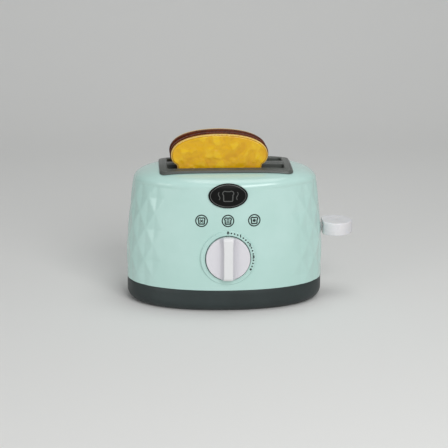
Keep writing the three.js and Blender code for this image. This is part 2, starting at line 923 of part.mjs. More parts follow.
function gearShape(teeth, module, toothAt) {
  const pitchRadius = (module * teeth) / 2;
  const root = pitchRadius - rootDepthShare * module;
  const tip = pitchRadius + tipReachShare * module;
  const pitch = (Math.PI * 2) / teeth;
  const points = [];
  for (let i = 0; i < teeth; i++) {
    const centre = toothAt + pitch * i;
    points.push([root, centre - pitch * toothRootShare]);
    points.push([tip, centre - pitch * toothTipShare]);
    points.push([tip, centre + pitch * toothTipShare]);
    points.push([root, centre + pitch * toothRootShare]);
  }
  const corners = points.map(
    ([radius, angle]) => new THREE.Vector2(radius * Math.cos(angle), radius * Math.sin(angle)),
  );
  return new THREE.Shape(corners);
}

function ratchetShape(teeth, tip, root) {
  const pitch = (Math.PI * 2) / teeth;
  const points = [];
  for (let i = 0; i < teeth; i++) {
    points.push(new THREE.Vector2(tip * Math.cos(pitch * i), tip * Math.sin(pitch * i)));
    const back = pitch * (i + ratchetBackShare);
    points.push(new THREE.Vector2(root * Math.cos(back), root * Math.sin(back)));
  }
  return new THREE.Shape(points);
}

function mainGearGeometry() {
  const bottom = mainLayerTop - gearThickness;
  const wheel = extruded(gearShape(mainTeeth, gearModule, compoundDirection), bottom, mainLayerTop);
  const bore = upright(shaftRadius + gap, bottom - overrun, mainLayerTop + overrun);
  return combine(wheel, ["subtract", bore]);
}

// A pinion's gap faces the tooth that drives it
function pinionToothAt(direction, teeth) {
  return direction + Math.PI + Math.PI / teeth;
}

function compoundGearGeometry() {
  const pinion = extruded(
    gearShape(firstPinionTeeth, gearModule, pinionToothAt(compoundDirection, firstPinionTeeth)),
    fineLayerTop - gearThickness / 2,
    mainLayerTop,
  );
  const wheel = extruded(
    gearShape(compoundTeeth, fineModule, escapeDirection),
    fineLayerTop - gearThickness,
    fineLayerTop,
  );
  const arbor = bolt(arborRadius, coverBack + gap, timerFront - gap, 0, 0);
  const geometry = combine(pinion, ["add", wheel], ["add", arbor]);
  geometry.translate(compoundX, compoundY, 0);
  return geometry;
}

function escapeWheelGeometry() {
  const pinion = extruded(
    gearShape(escapePinionTeeth, fineModule, pinionToothAt(escapeDirection, escapePinionTeeth)),
    escapeLayerTop - gearThickness / 2,
    fineLayerTop,
  );
  const wheel = extruded(
    ratchetShape(escapeTeeth, escapeRadius, escapeRadius * ratchetRootShare),
    escapeLayerTop - gearThickness,
    escapeLayerTop,
  );
  const arbor = bolt(arborRadius, coverBack + gap, timerFront - gap, 0, 0);
  const geometry = combine(pinion, ["add", wheel], ["add", arbor]);
  geometry.translate(escapeX, escapeY, 0);
  return geometry;
}

// Pallet: a rocking fork whose two prongs lie just outside the escape wheel

function palletGeometry() {
  const prongInner = palletReach - escapeRadius * Math.cos(radians(palletSpreadDegrees)) + slideGap;
  const prongHeight = escapeRadius;
  const thickness = arborRadius;
  const shape = new THREE.Shape();
  shape.moveTo(palletWebWidth, -palletWebWidth);
  shape.lineTo(palletWebWidth, palletWebWidth);
  shape.lineTo(-arborRadius, palletWebWidth);
  shape.lineTo(-prongInner, prongHeight + thickness);
  shape.lineTo(-prongInner, prongHeight);
  shape.lineTo(-arborRadius, 0);
  shape.lineTo(-prongInner, -prongHeight);
  shape.lineTo(-prongInner, -prongHeight - thickness);
  shape.lineTo(-arborRadius, -palletWebWidth);
  shape.closePath();
  const fork = extruded(shape, escapeLayerTop - gearThickness, escapeLayerTop);
  const arbor = bolt(arborRadius, coverBack + gap, timerFront - gap, 0, 0);
  const geometry = combine(fork, ["add", arbor]);
  geometry.translate(palletX, palletY, 0);
  return geometry;
}

// A ribbon wound in a spiral round the shaft

function mainspringGeometry() {
  const steps = Math.round(mainspringTurns * ribbonSteps);
  const bottom = fineLayerTop - ribbonHeight;
  const half = ribbonThickness / 2;
  const sections = [];
  const middles = [];
  for (let i = 0; i <= steps; i++) {
    const share = i / steps;
    const angle = share * mainspringTurns * Math.PI * 2;
    const radius = mainspringInnerRadius + (mainspringOuterRadius - mainspringInnerRadius) * share;
    middles.push([radius, angle]);
    const corners = [
      [radius - half, bottom],
      [radius + half, bottom],
      [radius + half, bottom + ribbonHeight],
      [radius - half, bottom + ribbonHeight],
    ];
    sections.push(corners.map(([reach, z]) => [reach * Math.cos(angle), reach * Math.sin(angle), z]));
  }
  console.log("mainspring least gap", leastRibbonGap(middles).toFixed(2));
  return tube(sections);
}

function leastRibbonGap(middles) {
  let least = Infinity;
  for (let i = ribbonSteps; i < middles.length; i++) {
    least = Math.min(least, middles[i][0] - middles[i - ribbonSteps][0] - ribbonThickness);
  }
  return least;
}

// Joins sections with as many points each into one closed tube

function tube(sections) {
  const sides = sections[0].length;
  const positions = sections.flat(2);
  const faces = [];
  for (let i = 0; i < sections.length - 1; i++) {
    for (let j = 0; j < sides; j++) {
      const next = (j + 1) % sides;
      const a = i * sides + j;
      const b = i * sides + next;
      const c = (i + 1) * sides + next;
      const d = (i + 1) * sides + j;
      faces.push(a, d, b, b, d, c);
    }
  }
  const last = (sections.length - 1) * sides;
  for (let j = 1; j < sides - 1; j++) {
    faces.push(0, j, j + 1);
    faces.push(last, last + j + 1, last + j);
  }
  const geometry = new THREE.BufferGeometry();
  geometry.setAttribute("position", new THREE.Float32BufferAttribute(positions, 3));
  geometry.setIndex(faces);
  const solid = toSolid(geometry);
  if (solid.volume() < 0) {
    for (let i = 0; i < faces.length; i += 3) {
      const kept = faces[i + 1];
      faces[i + 1] = faces[i + 2];
      faces[i + 2] = kept;
    }
    geometry.setIndex(faces);
  }
  return geometry;
}

// A coil along z whose ends run straight for one wire diameter

function coilGeometry(name, meanRadius, wire, curls, bottom, top) {
  const steps = curls * curlSteps;
  const climb = top - bottom - wire;
  const middles = [];
  for (let i = 0; i <= steps; i++) {
    const angle = (i / curlSteps) * Math.PI * 2;
    const z = bottom + wire / 2 + (climb * i) / steps;
    middles.push(new THREE.Vector3(meanRadius * Math.cos(angle), meanRadius * Math.sin(angle), z));
  }
  const startRun = new THREE.Vector3(0, -wire, 0).add(middles[0]);
  const endRun = new THREE.Vector3(0, wire, 0).add(middles[steps]);
  middles.unshift(startRun);
  middles.push(endRun);
  const sections = middles.map((middle, i) => coilSection(middle, i, steps + 2, wire));
  console.log(name + " least gap", leastCoilGap(middles, wire).toFixed(2));
  return tube(sections);
}

function coilSection(middle, index, last, wire) {
  const straight = index === 0 || index === last;
  const angle = straight ? 0 : ((index - 1) / curlSteps) * Math.PI * 2;
  const outward = new THREE.Vector3(Math.cos(angle), Math.sin(angle), 0);
  const up = new THREE.Vector3(0, 0, 1);
  const points = [];
  for (let j = 0; j < curlSides; j++) {
    const turn = (j / curlSides) * Math.PI * 2;
    const point = middle.clone();
    point.addScaledVector(outward, (wire / 2) * Math.cos(turn));
    point.addScaledVector(up, (wire / 2) * Math.sin(turn));
    points.push(point.toArray());
  }
  return points;
}

function leastCoilGap(middles, wire) {
  let least = Infinity;
  for (let i = 0; i < middles.length; i++) {
    for (let j = i + curlSteps - 1; j < middles.length; j++) {
      least = Math.min(least, middles[i].distanceTo(middles[j]) - wire);
    }
  }
  return least;
}

// Snail cam: its radius under the follower grows evenly as the dial is turned up

function camGeometry() {
  const travel = radians(dialTravelDegrees);
  const start = -Math.PI / 2;
  const points = [];
  const lead = radians(camLeadDegrees);
  for (let i = 0; i <= camSteps; i++) {
    const turn = -lead + ((travel + 2 * lead) * i) / camSteps;
    const share = THREE.MathUtils.clamp(turn / travel, 0, 1);
    const radius = camLowRadius + camRise * share;
    points.push(new THREE.Vector2(radius * Math.cos(start + turn), radius * Math.sin(start + turn)));
  }
  for (let i = 1; i < camRestSteps; i++) {
    const turn = travel + lead + ((Math.PI * 2 - travel - 2 * lead) * i) / camRestSteps;
    const radius = camLowRadius;
    points.push(new THREE.Vector2(radius * Math.cos(start + turn), radius * Math.sin(start + turn)));
  }
  const disc = extruded(new THREE.Shape(points), camBack, camFront);
  return combine(disc, ["subtract", upright(shaftRadius + gap, camBack - overrun, camFront + overrun)]);
}

// Trip lever: a long arm with a nose under the cam, and a short upright arm with a hook over the tab

function tripLeverGeometry() {
  const top = tripPlane;
  const bottom = tripPlane - tripThickness;
  const half = tripArmWidth / 2;
  const noseX = tripNoseX - tripPivotX;
  const noseY = tripNoseY + tripPivotDrop;
  const length = Math.hypot(noseX, noseY);
  const arm = box([0, -half / 2, bottom], [length, half / 2, top]);
  arm.rotateZ(Math.atan2(noseY, noseX));
  const nose = bolt(tripNoseRadius, bottom, top, noseX, noseY);
  const hub = bolt(tripArmWidth / 2 + tripPinRadius, bottom, top, 0, 0);
  const hookX = hookFaceX - tripPivotX;
  const foot = box([0, -half, bottom], [hookX + tripMastWidth, half, top]);
  const mast = box([hookX, 0, bottom], [hookX + tripMastWidth, tripHookRise + tripToothHeight, top]);
  const tooth = new THREE.Shape();
  tooth.moveTo(hookX + tripMastWidth / 2, tripHookRise);
  tooth.lineTo(hookX - tripToothReach, tripHookRise);
  tooth.lineTo(hookX, tripHookRise + tripToothHeight);
  tooth.lineTo(hookX + tripMastWidth / 2, tripHookRise + tripToothHeight);
  tooth.closePath();
  const geometry = combine(
    hub,
    ["add", arm],
    ["add", nose],
    ["add", foot],
    ["add", mast],
    ["add", extruded(tooth, bottom, top)],
    ["subtract", bolt(tripPinRadius + gap, bottom - overrun, top + overrun, 0, 0)],
  );
  geometry.translate(tripPivotX, -tripPivotDrop, 0);
  return geometry;
}

function tripPinGeometry() {
  const head = tripPlane + springRoom + gap;
  const outline = [
    [0, tripPlane - tripThickness - tripPostWidth / 2],
    [tripPinRadius, tripPlane - tripThickness - tripPostWidth / 2],
    [tripPinRadius, head],
    [tripPinRadius * tripPinHeadShare, head],
    [tripPinRadius * tripPinHeadShare, head + tripPinRadius],
    [0, head + tripPinRadius],
  ];
  const geometry = revolved(outline);
  geometry.translate(tripPivotX, -tripPivotDrop, 0);
  return geometry;
}

function tripSpringGeometry() {
  const bottom = tripPlane + gap;
  const top = bottom + tripSpringHeight;
  const sizes = [tripSpringMeanRadius, tripSpringWire, tripSpringCurls];
  const geometry = coilGeometry("trip spring", ...sizes, bottom, top);
  geometry.translate(tripPivotX, -tripPivotDrop, 0);
  return geometry;
}

// Carriage: two bread rests joined by a cross plate, bushes on the rods, a catch tab and the lever arm

function carriageSide(side) {
  const half = breadRestWidth / 2;
  const y = side * slotOffset;
  const bushY = side * rodOffset;
  const bushBottom = crossPlateTop - bushHeight;
  const rest = box(
    [overrun - slotLength / 2, y - half, breadRestTop - breadRestThickness],
    [crossPlateX + crossPlateThickness, y + half, breadRestTop],
  );
  const web = box(
    [crossPlateX, bushY - half, crossPlateTop - crossPlateHeight],
    [rodX, bushY + half, crossPlateTop],
  );
  return [
    ["add", rest],
    ["add", bolt(bushRadius, bushBottom, crossPlateTop, rodX, bushY)],
    ["add", web],
    ["subtract", bolt(rodRadius + gap, bushBottom - overrun, crossPlateTop + overrun, rodX, bushY)],
  ];
}

function carriageGeometry() {
  const plateEnd = crossPlateX + crossPlateThickness;
  const plateReach = slotOffset + breadRestWidth / 2 + catchTabWidth;
  const plate = box(
    [crossPlateX, -plateReach, crossPlateTop - crossPlateHeight],
    [plateEnd, plateReach, crossPlateTop],
  );
  const tab = box(
    [crossPlateX, tabFrontY(), crossPlateTop - catchTabThickness],
    [crossPlateX + catchTabWidth, crossPlateThickness / 2 - plateReach, crossPlateTop],
  );
  const armHalf = leverArmWidth / 2;
  const armThick = leverArmThickness / 2;
  const arm = box(
    [crossPlateX, -armHalf, leverCentreHeight - armThick],
    [paddleInner + paddleReach, armHalf, leverCentreHeight + armThick],
  );
  return combine(plate, ...carriageSide(-1), ...carriageSide(1), ["add", tab], ["add", arm]);
}

function tabFrontY() {
  const middle = tripPlane - tripThickness / 2;
  const hook = new THREE.Vector3(hookFaceX, tripHookRise - tripPivotDrop, middle).applyMatrix4(dialFrame);
  return hook.y - tripThickness / 2;
}

// Lever paddle: a rounded lens in plan, pushed on to the arm

function paddleGeometry() {
  const length = paddleOuter - paddleInner;
  const half = paddleHalfWidth - paddleEdge;
  const shape = new THREE.Shape();
  const outer = length - paddleEdge;
  const root = half * paddleRootShare;
  const swell = half * paddleSwellShare;
  const nose = half * paddleNoseShare;
  const shoulder = length * paddleShoulderShare;
  const tip = length * paddleTipShare;
  shape.moveTo(paddleEdge, -root);
  shape.bezierCurveTo(shoulder, -swell, tip, -nose, outer, 0);
  shape.bezierCurveTo(tip, nose, shoulder, swell, paddleEdge, root);
  shape.closePath();
  const geometry = new THREE.ExtrudeGeometry(shape, {
    depth: paddleThickness - paddleEdge - paddleEdge,
    bevelThickness: paddleEdge,
    bevelSize: paddleEdge,
    bevelSegments: 2,
    curveSegments: ellipseSegments,
  });
  geometry.translate(paddleInner, 0, leverCentreHeight - paddleThickness / 2 + paddleEdge);
  const armHalf = leverArmWidth / 2 + gap;
  const thick = leverArmThickness / 2 + gap;
  const socket = box(
    [paddleInner - overrun, -armHalf, leverCentreHeight - thick],
    [paddleInner + paddleReach + gap, armHalf, leverCentreHeight + thick],
  );
  return combine(geometry, ["subtract", socket]);
}

// Guide rods and lift springs

const liftSpringTop = crossPlateTop - bushHeight - gap;
const liftSpringBottom = rodSocketHeight + gap;

function rodGeometry() {
  return bolt(rodRadius, rodSocketDepth + gap, wellEarTop, 0, 0);
}

function liftSpringGeometry(name) {
  return coilGeometry(name, springMeanRadius, springWire, springCurls, liftSpringBottom, liftSpringTop);
}

// Bread wells: a shaft below each slot, with ears that hold the rods and take the screws

function wellEar(side, end) {
  const near = end * (slotLength / 2 + wellWall / 2);
  const far = end * (slotLength / 2 + wellWall + wellEarLength);
  const earIn = side * (rodOffset - bushRadius - gap);
  const earOut = side * (wellScrewY + wellPostRadius);
  return box(
    [Math.min(near, far), Math.min(earIn, earOut), wellEarHeight],
    [Math.max(near, far), Math.max(earIn, earOut), wellEarTop],
  );
}

function wellGeometry(side) {
  const top = bezelNeckBottom - gap;
  const inLength = slotLength / 2;
  const inWidth = slotWidth / 2;
  const y = side * slotOffset;
  const slit = breadRestWidth / 2 + slideGap;
  const low = wellEarHeight - overrun;
  const high = wellEarTop + overrun;
  const outer = box(
    [-inLength - wellWall, y - inWidth - wellWall, wellBottom],
    [inLength + wellWall, y + inWidth + wellWall, top],
  );
  const inner = box([-inLength, y - inWidth, wellBottom - overrun], [inLength, y + inWidth, top + overrun]);
  const restSlit = box(
    [inLength - overrun, y - slit, wellBottom - overrun],
    [inLength + wellWall + overrun, y + slit, breadRestTop + restSlitAbove],
  );
  return combine(
    outer,
    ["add", wellEar(side, -1)],
    ["add", wellEar(side, 1)],
    ["subtract", bolt(screwHoleRadius, low, high, -rodX, side * wellScrewY)],
    ["subtract", bolt(screwHoleRadius, low, high, rodX, side * wellScrewY)],
    ["subtract", bolt(rodRadius + gap, low, high, rodX, side * rodOffset)],
    ["subtract", inner],
    ["subtract", restSlit],
  );
}

// Toast outline, from the middle of its foot

function toastShape(inset) {
  const foot = toastFootWidth / 2 - inset;
  const neck = toastNeckWidth / 2 - inset;
  const shoulder = toastWidth / 2 - inset;
  const top = toastHeight - inset;
  const crownPull = shoulder * toastCrownShare;
  const crownRise = toastShoulderHeight + (top - toastShoulderHeight) * toastCrownShare;
  const waist = (toastNeckHeight + toastShoulderHeight) / 2;
  const shape = new THREE.Shape();
  shape.moveTo(-foot + toastCornerRadius, inset);
  shape.lineTo(foot - toastCornerRadius, inset);
  shape.quadraticCurveTo(foot, inset, foot, toastCornerRadius + inset);
  shape.lineTo(neck, toastNeckHeight);
  shape.quadraticCurveTo(shoulder, waist, shoulder, toastShoulderHeight);
  shape.bezierCurveTo(shoulder, crownRise, crownPull, top, 0, top);
  shape.bezierCurveTo(-crownPull, top, -shoulder, crownRise, -shoulder, toastShoulderHeight);
  shape.quadraticCurveTo(-shoulder, waist, -neck, toastNeckHeight);
  shape.lineTo(-foot, toastCornerRadius + inset);
  shape.quadraticCurveTo(-foot, inset, -foot + toastCornerRadius, inset);
  return shape;
}

const toastThickness = crumbThickness + gap + crustThickness;

function crumbGeometry() {
  const slab = bevelled(toastShape(toastEdge + crumbInset), 0, crumbThickness);
  const bottom = crumbThickness - spreadRecess;
  const recess = extruded(toastShape(spreadInset - gap), bottom, crumbThickness + overrun);
  return combine(slab, ["subtract", recess]);
}

function bevelled(shape, bottom, top) {
  const geometry = new THREE.ExtrudeGeometry(shape, {
    depth: top - bottom - toastEdge - toastEdge,
    bevelThickness: toastEdge,
    bevelSize: toastEdge,
    bevelSegments: 1,
    curveSegments: cornerSegments,
  });
  geometry.translate(0, 0, bottom + toastEdge);
  return geometry;
}

function crustGeometry() {
  return bevelled(toastShape(toastEdge), -gap - crustThickness, -gap);
}

function spreadGeometry() {
  const bottom = crumbThickness - spreadRecess + gap;
  return extruded(toastShape(spreadInset), bottom, bottom + spreadThickness);
}

// Screws, drawn with the head at zero and the shank along +z

function screwGeometry(length) {
  const outline = [
    [0, -screwHeadHeight],
    [screwHeadRadius * screwCrownShare, -screwHeadHeight],
    [screwHeadRadius, -screwHeadHeight * screwRimShare],
    [screwHeadRadius, 0],
    [screwRadius, 0],
    [screwRadius, length - screwRadius],
    [screwRadius * screwTipShare, length],
    [0, length],
  ];
  return revolved(outline, screwSegments);
}

// Scene graph

const toaster = new THREE.Group();
const dialGroup = new THREE.Group();
dialGroup.applyMatrix4(dialFrame);
toaster.add(dialGroup);

const glossy = { roughness: 0.3, metalness: 0 };
const satin = { roughness: 0.5, metalness: 0 };
const metal = { roughness: 0.35, metalness: 1 };

function addMesh(parent, name, geometry, colour, finish) {
  const material = new THREE.MeshStandardMaterial({ color: colour, ...finish });
  const mesh = new THREE.Mesh(geometry, material);
  mesh.name = name;
  parent.add(mesh);
  return mesh;
}

function addBody() {
  addMesh(toaster, "casing", casingGeometry(), colours.mint, glossy);
  addMesh(toaster, "base", baseGeometry(), colours.charcoal, satin);
  addMesh(toaster, "top_bezel", bezelGeometry(), colours.bezelGrey, satin);
  addMesh(toaster, "badge", badgeGeometry(), colours.black, glossy);
  addMesh(toaster, "front_bread_well", wellGeometry(-1), colours.smoke, satin);
  addMesh(toaster, "rear_bread_well", wellGeometry(1), colours.smoke, satin);
}

function addTimer() {
  addMesh(dialGroup, "timer_knob", knobGeometry(), colours.white, glossy);
  addMesh(dialGroup, "timer_shaft", shaftGeometry(), colours.steel, metal);
  addMesh(dialGroup, "timer_case", timerCaseGeometry(), colours.smoke, satin);
  addMesh(dialGroup, "timer_cover", timerCoverGeometry(), colours.smoke, satin);
  addMesh(dialGroup, "mainspring", mainspringGeometry(), colours.steel, metal);
  addMesh(dialGroup, "main_gear", mainGearGeometry(), colours.acetal, satin);
  addMesh(dialGroup, "compound_gear", compoundGearGeometry(), colours.acetal, satin);
  addMesh(dialGroup, "escape_wheel", escapeWheelGeometry(), colours.brass, metal);
  addMesh(dialGroup, "pallet", palletGeometry(), colours.brass, metal);
  addMesh(dialGroup, "release_cam", camGeometry(), colours.acetal, satin);
  coverScrewPlaces.forEach(([x, y], i) => {
    const name = "cover_screw_" + (i + 1);
    const screw = addMesh(dialGroup, name, screwGeometry(coverScrewLength), colours.steel, metal);
    screw.position.set(x, y, coverBack - gap);
  });
  [timerEarLeftX, timerEarRightX].forEach((x, i) => {
    const name = "timer_screw_" + (i + 1);
    const screw = addMesh(dialGroup, name, screwGeometry(timerScrewLength), colours.steel, metal);
    screw.position.set(x, -timerEarDrop, timerFront - timerCaseWall - gap);
  });
}

function addTrip() {
  addMesh(dialGroup, "trip_lever", tripLeverGeometry(), colours.steel, metal);
  addMesh(dialGroup, "trip_pin", tripPinGeometry(), colours.steel, metal);
  addMesh(dialGroup, "trip_spring", tripSpringGeometry(), colours.steel, metal);
}

function addCarriage() {
  addMesh(toaster, "bread_carriage", carriageGeometry(), colours.smoke, satin);
  addMesh(toaster, "lever_knob", paddleGeometry(), colours.white, glossy);
  for (const [name, side] of [["front", -1], ["rear", 1]]) {
    const rod = addMesh(toaster, "guide_rod_" + name, rodGeometry(), colours.steel, metal);
    rod.position.set(rodX, side * rodOffset, 0);
    const spring = liftSpringGeometry("lift spring " + name);
    addMesh(toaster, "lift_spring_" + name, spring, colours.steel, metal).position.copy(rod.position);
  }
}

// Each slice stands on its bread rest; its own z is its thickness and points to its spread side

function addSlice(name, side) {
  const slice = new THREE.Group();
  addMesh(slice, name + "_toast_crumb", crumbGeometry(), colours.crumb, satin);
  addMesh(slice, name + "_toast_spread", spreadGeometry(), colours.spread, glossy);
  addMesh(slice, name + "_toast_crust", crustGeometry(), colours.crust, satin);
  const turned = new THREE.Group();
  turned.add(slice);
  slice.rotation.x = Math.PI / 2;
  const stand = breadRestTop + gap;
  if (side < 0) {
    turned.position.set(toastShift, -slotOffset, stand);
  } else {
    slice.rotation.set(Math.PI / 2, Math.PI, 0);
    const lean = radians(rearLeanDegrees);
    turned.rotation.x = lean;
    const swing = toastHeight * Math.sin(lean) * rearLeanShare;
    turned.position.set(toastShift, slotOffset + swing, stand + toastThickness * Math.sin(lean));
  }
  toaster.add(turned);
}

function addScrews() {
  let index = 0;
  for (const sideX of [-1, 1]) {
    for (const sideY of [-1, 1]) {
      index += 1;
      const long = screwGeometry(baseScrewLength);
      const short = screwGeometry(wellScrewLength);
      const base = addMesh(toaster, "base_screw_" + index, long, colours.steel, metal);
      const well = addMesh(toaster, "well_screw_" + index, short, colours.steel, metal);
      base.position.set(sideX * baseScrewX, sideY * baseScrewY, counterboreDepth - gap);
      well.position.set(sideX * rodX, sideY * wellScrewY, wellEarHeight - gap);
    }
  }
}

addBody();
addTimer();
addTrip();
addCarriage();
addSlice("front", -1);
addSlice("rear", 1);
addScrews();

export default toaster;
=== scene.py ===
"""Looks of a toy toaster.

A glossy mint casing with soft diamond facets, a dark grey base and bezel, a white dial and lever,
printed marks and two slices of play toast. The classes hold millimetres, and Blender gets metres.
"""

from __future__ import annotations

import logging  # noqa: E402
import math  # noqa: E402
from dataclasses import dataclass, field  # noqa: E402
from enum import Enum  # noqa: E402
from typing import Callable, Sequence  # noqa: E402

import bmesh  # noqa: E402
import bpy  # noqa: E402
from bmesh.types import BMesh, BMVert  # noqa: E402
from bpy.types import ID, Material, Node, NodeSocket, NodeTree, Object  # noqa: E402
from mathutils import Matrix, Vector, noise  # noqa: E402


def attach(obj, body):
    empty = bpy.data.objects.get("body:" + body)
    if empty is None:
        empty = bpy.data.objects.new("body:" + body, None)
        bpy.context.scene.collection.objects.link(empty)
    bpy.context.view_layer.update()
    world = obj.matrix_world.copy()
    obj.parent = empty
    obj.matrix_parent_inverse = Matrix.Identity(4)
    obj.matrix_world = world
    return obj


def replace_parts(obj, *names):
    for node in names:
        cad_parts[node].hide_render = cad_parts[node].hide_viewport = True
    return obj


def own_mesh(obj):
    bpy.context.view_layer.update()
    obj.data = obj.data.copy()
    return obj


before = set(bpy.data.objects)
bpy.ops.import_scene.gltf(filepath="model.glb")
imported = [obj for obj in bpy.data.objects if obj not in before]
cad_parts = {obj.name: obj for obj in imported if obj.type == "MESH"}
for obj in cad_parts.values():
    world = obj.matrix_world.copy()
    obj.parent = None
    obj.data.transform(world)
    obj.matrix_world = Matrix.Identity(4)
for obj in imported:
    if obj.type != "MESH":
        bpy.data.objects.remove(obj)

log = logging.getLogger("toy_toaster")
MM = 0.001
FULL_TURN = 2 * math.pi
QUARTER_TURN = math.pi / 2
HALVINGS = 30
SOFT_EDGE = 32.0
NOISE_SEED = 1  # 0 would take the clock, and noise_vector differ in each run
Colour = tuple[float, float, float]
Pair = tuple[float, float]
Place = Callable[[int, int], Vector]
Lay = Callable[[float, float, float], Vector]
Relief = Callable[[int, Vector, float], float]


# Colour and shader helpers


def linear(red: float, green: float, blue: float) -> Colour:
    """Turn a display colour into scene-linear values.

    Args:
        red: Red, 0 to 255.
        green: Green, 0 to 255.
        blue: Blue, 0 to 255.

    Returns:
        The linear colour.
    """

    def channel(value: float) -> float:
        """Turn one channel from display to linear."""
        share = value / 255
        return share / 12.92 if share <= 0.04045 else ((share + 0.055) / 1.055) ** 2.4

    return channel(red), channel(green), channel(blue)


def rgba(colour: Colour) -> tuple[float, float, float, float]:
    """Add a full alpha to a colour."""
    return (*colour, 1.0)


class Sheet:
    """A node tree with short ways to add, set and join nodes."""

    def __init__(self, tree: NodeTree) -> None:
        """Keep the tree of a material, a world or a node group."""
        self.tree = tree

    def feed(self, target: NodeSocket, value: object) -> None:
        """Join a socket to an input, or give the input a value.

        Args:
            target: The input.
            value: A socket, a number or a colour with its alpha.
        """
        if isinstance(value, NodeSocket):
            self.tree.links.new(value, target)
        else:
            target.default_value = value

    def add(self, kind: str, **values: object) -> Node:
        """Add a node and set its properties or feed its inputs by name.

        Args:
            kind: The node's type name.
            **values: Properties, or inputs written with underscores for spaces.

        Returns:
            The new node.
        """
        node = self.tree.nodes.new(kind)
        for name, value in values.items():
            if hasattr(node, name):
                setattr(node, name, value)
            else:
                self.feed(node.inputs[name.replace("_", " ")], value)
        return node

    def fed(self, node: Node, values: Sequence[object]) -> Node:
        """Feed a node's first inputs in order and return it."""
        for target, value in zip(node.inputs, values):
            self.feed(target, value)
        return node

    def maths(self, operation: str, *values: object) -> NodeSocket:
        """Work a sum out of sockets and numbers and return its result."""
        return self.fed(self.add("ShaderNodeMath", operation=operation), values).outputs[0]

    def blend(self, factor: NodeSocket, low: Colour | NodeSocket, high: Colour | NodeSocket) -> NodeSocket:
        """Mix two colours by a mask.

        Args:
            factor: The mask.
            low: Colour where the mask is 0.
            high: Colour where the mask is 1.

        Returns:
            The mixed colour's socket.
        """
        node = self.add("ShaderNodeMix", data_type="RGBA")
        for index, value in ((0, factor), (6, low), (7, high)):
            self.feed(node.inputs[index], value if isinstance(value, NodeSocket) else rgba(value))
        return node.outputs[2]

    def span(
        self, value: NodeSocket, low: float | NodeSocket, high: float | NodeSocket, start: float = 0.0, end: float = 1.0
    ) -> NodeSocket:
        """Map a value from one span to another, smoothly clamped.

        Args:
            value: The incoming value.
            low: Start of the incoming span.
            high: End of the incoming span.
            start: Result at low.
            end: Result at high.

        Returns:
            The mapped value's socket.
        """
        node = self.add("ShaderNodeMapRange", interpolation_type="SMOOTHSTEP")
        return self.fed(node, (value, low, high, start, end)).outputs[0]


class EffectGroup(Sheet):
    """A shader node group in the making, with named numbers in and out."""

    def __init__(self, name: str, inputs: dict[str, float], outputs: Sequence[str]) -> None:
        """Start the group with its sockets.

        Args:
            name: The group's name.
            inputs: Its inputs with their defaults.
            outputs: Its outputs.
        """
        super().__init__(bpy.data.node_groups.new(name, "ShaderNodeTree"))
        for label, value in inputs.items():
            self.socket(label, "INPUT").default_value = value
        for label in outputs:
            self.socket(label, "OUTPUT")
        self.given = self.add("NodeGroupInput").outputs
        self.result = self.add("NodeGroupOutput")
        self.place = self.add("ShaderNodeTexCoord").outputs["Object"]

    def socket(self, label: str, direction: str) -> bpy.types.NodeTreeInterfaceSocket:
        """Add a number socket and return it."""
        return self.tree.interface.new_socket(name=label, in_out=direction, socket_type="NodeSocketFloat")

    def noise(self, scale: float | NodeSocket, place: NodeSocket | None = None, **values: float) -> NodeSocket:
        """Add noise on the object's own coordinates, or on others, and return it."""
        return self.add("ShaderNodeTexNoise", Vector=place or self.place, Scale=scale, **values).outputs["Fac"]

    def give(self, **values: NodeSocket) -> NodeTree:
        """Feed the group's outputs by name and return the group."""
        for label, value in values.items():
            self.feed(self.result.inputs[label], value)
        return self.tree


def moulded_grain_group(name: str) -> NodeTree:
    """Build the group that gives moulded plastic its fine grain, slow waviness and mottling.

    Args:
        name: The group's name.

    Returns:
        The node group, with a Height and a Mottle output.
    """
    inputs = {"Grain Scale": 1400.0, "Grain Share": 0.5, "Wave Scale": 60.0, "Wave Share": 0.5}
    group = EffectGroup(name, inputs, ("Height", "Mottle"))
    fine = group.noise(group.given["Grain Scale"], Detail=2.0, Roughness=0.6)
    wave = group.noise(group.given["Wave Scale"], Detail=1.0, Roughness=0.4)
    broad = group.noise(26.0, Detail=3.0, Roughness=0.55)
    fine_part = group.maths("MULTIPLY", fine, group.given["Grain Share"])
    wave_part = group.maths("MULTIPLY", wave, group.given["Wave Share"])
    return group.give(Height=group.maths("ADD", fine_part, wave_part), Mottle=group.span(broad, 0.3, 0.7))


def bread_pores_group(name: str) -> NodeTree:
    """Build the group that gives play bread its pores and soft swellings.

    Args:
        name: The group's name.

    Returns:
        The node group, with a Height, a Pores and a Swell output.
    """
    inputs = {"Pore Scale": 420.0, "Swell Scale": 110.0}
    group = EffectGroup(name, inputs, ("Height", "Pores", "Swell"))
    cells = group.add("ShaderNodeTexVoronoi", feature="SMOOTH_F1", Smoothness=0.6, Vector=group.place)
    group.feed(cells.inputs["Scale"], group.given["Pore Scale"])
    swell = group.noise(group.given["Swell Scale"], Detail=3.0, Roughness=0.5, Distortion=0.6)
    pores = group.span(cells.outputs["Distance"], 0.12, 0.5)
    soft = group.span(swell, 0.3, 0.7)
    height = group.maths("ADD", group.maths("MULTIPLY", pores, 0.35), soft)
    return group.give(Height=height, Pores=pores, Swell=soft)


def poured_swirl_group(name: str) -> NodeTree:
    """Build the group of soft swirls in a spread that was poured and left to set, with masks for the painted shade in
    their valleys and the painted highlight on their backs.

    Args:
        name: The group's name.

    Returns:
        The node group, with a Height, a Valley and a Back output.
    """
    group = EffectGroup(name, {"Swirl Scale": 46.0}, ("Height", "Valley", "Back"))
    swirl = group.noise(group.given["Swirl Scale"], Detail=0.7, Roughness=0.4, Distortion=0.25)
    # Masks for painted shade in the valleys and a painted highlight on the backs
    valley_shade, back = group.span(swirl, 0.45, 0.28), group.span(swirl, 0.55, 0.72)
    return group.give(Height=group.span(swirl, 0.3, 0.7), Valley=valley_shade, Back=back)


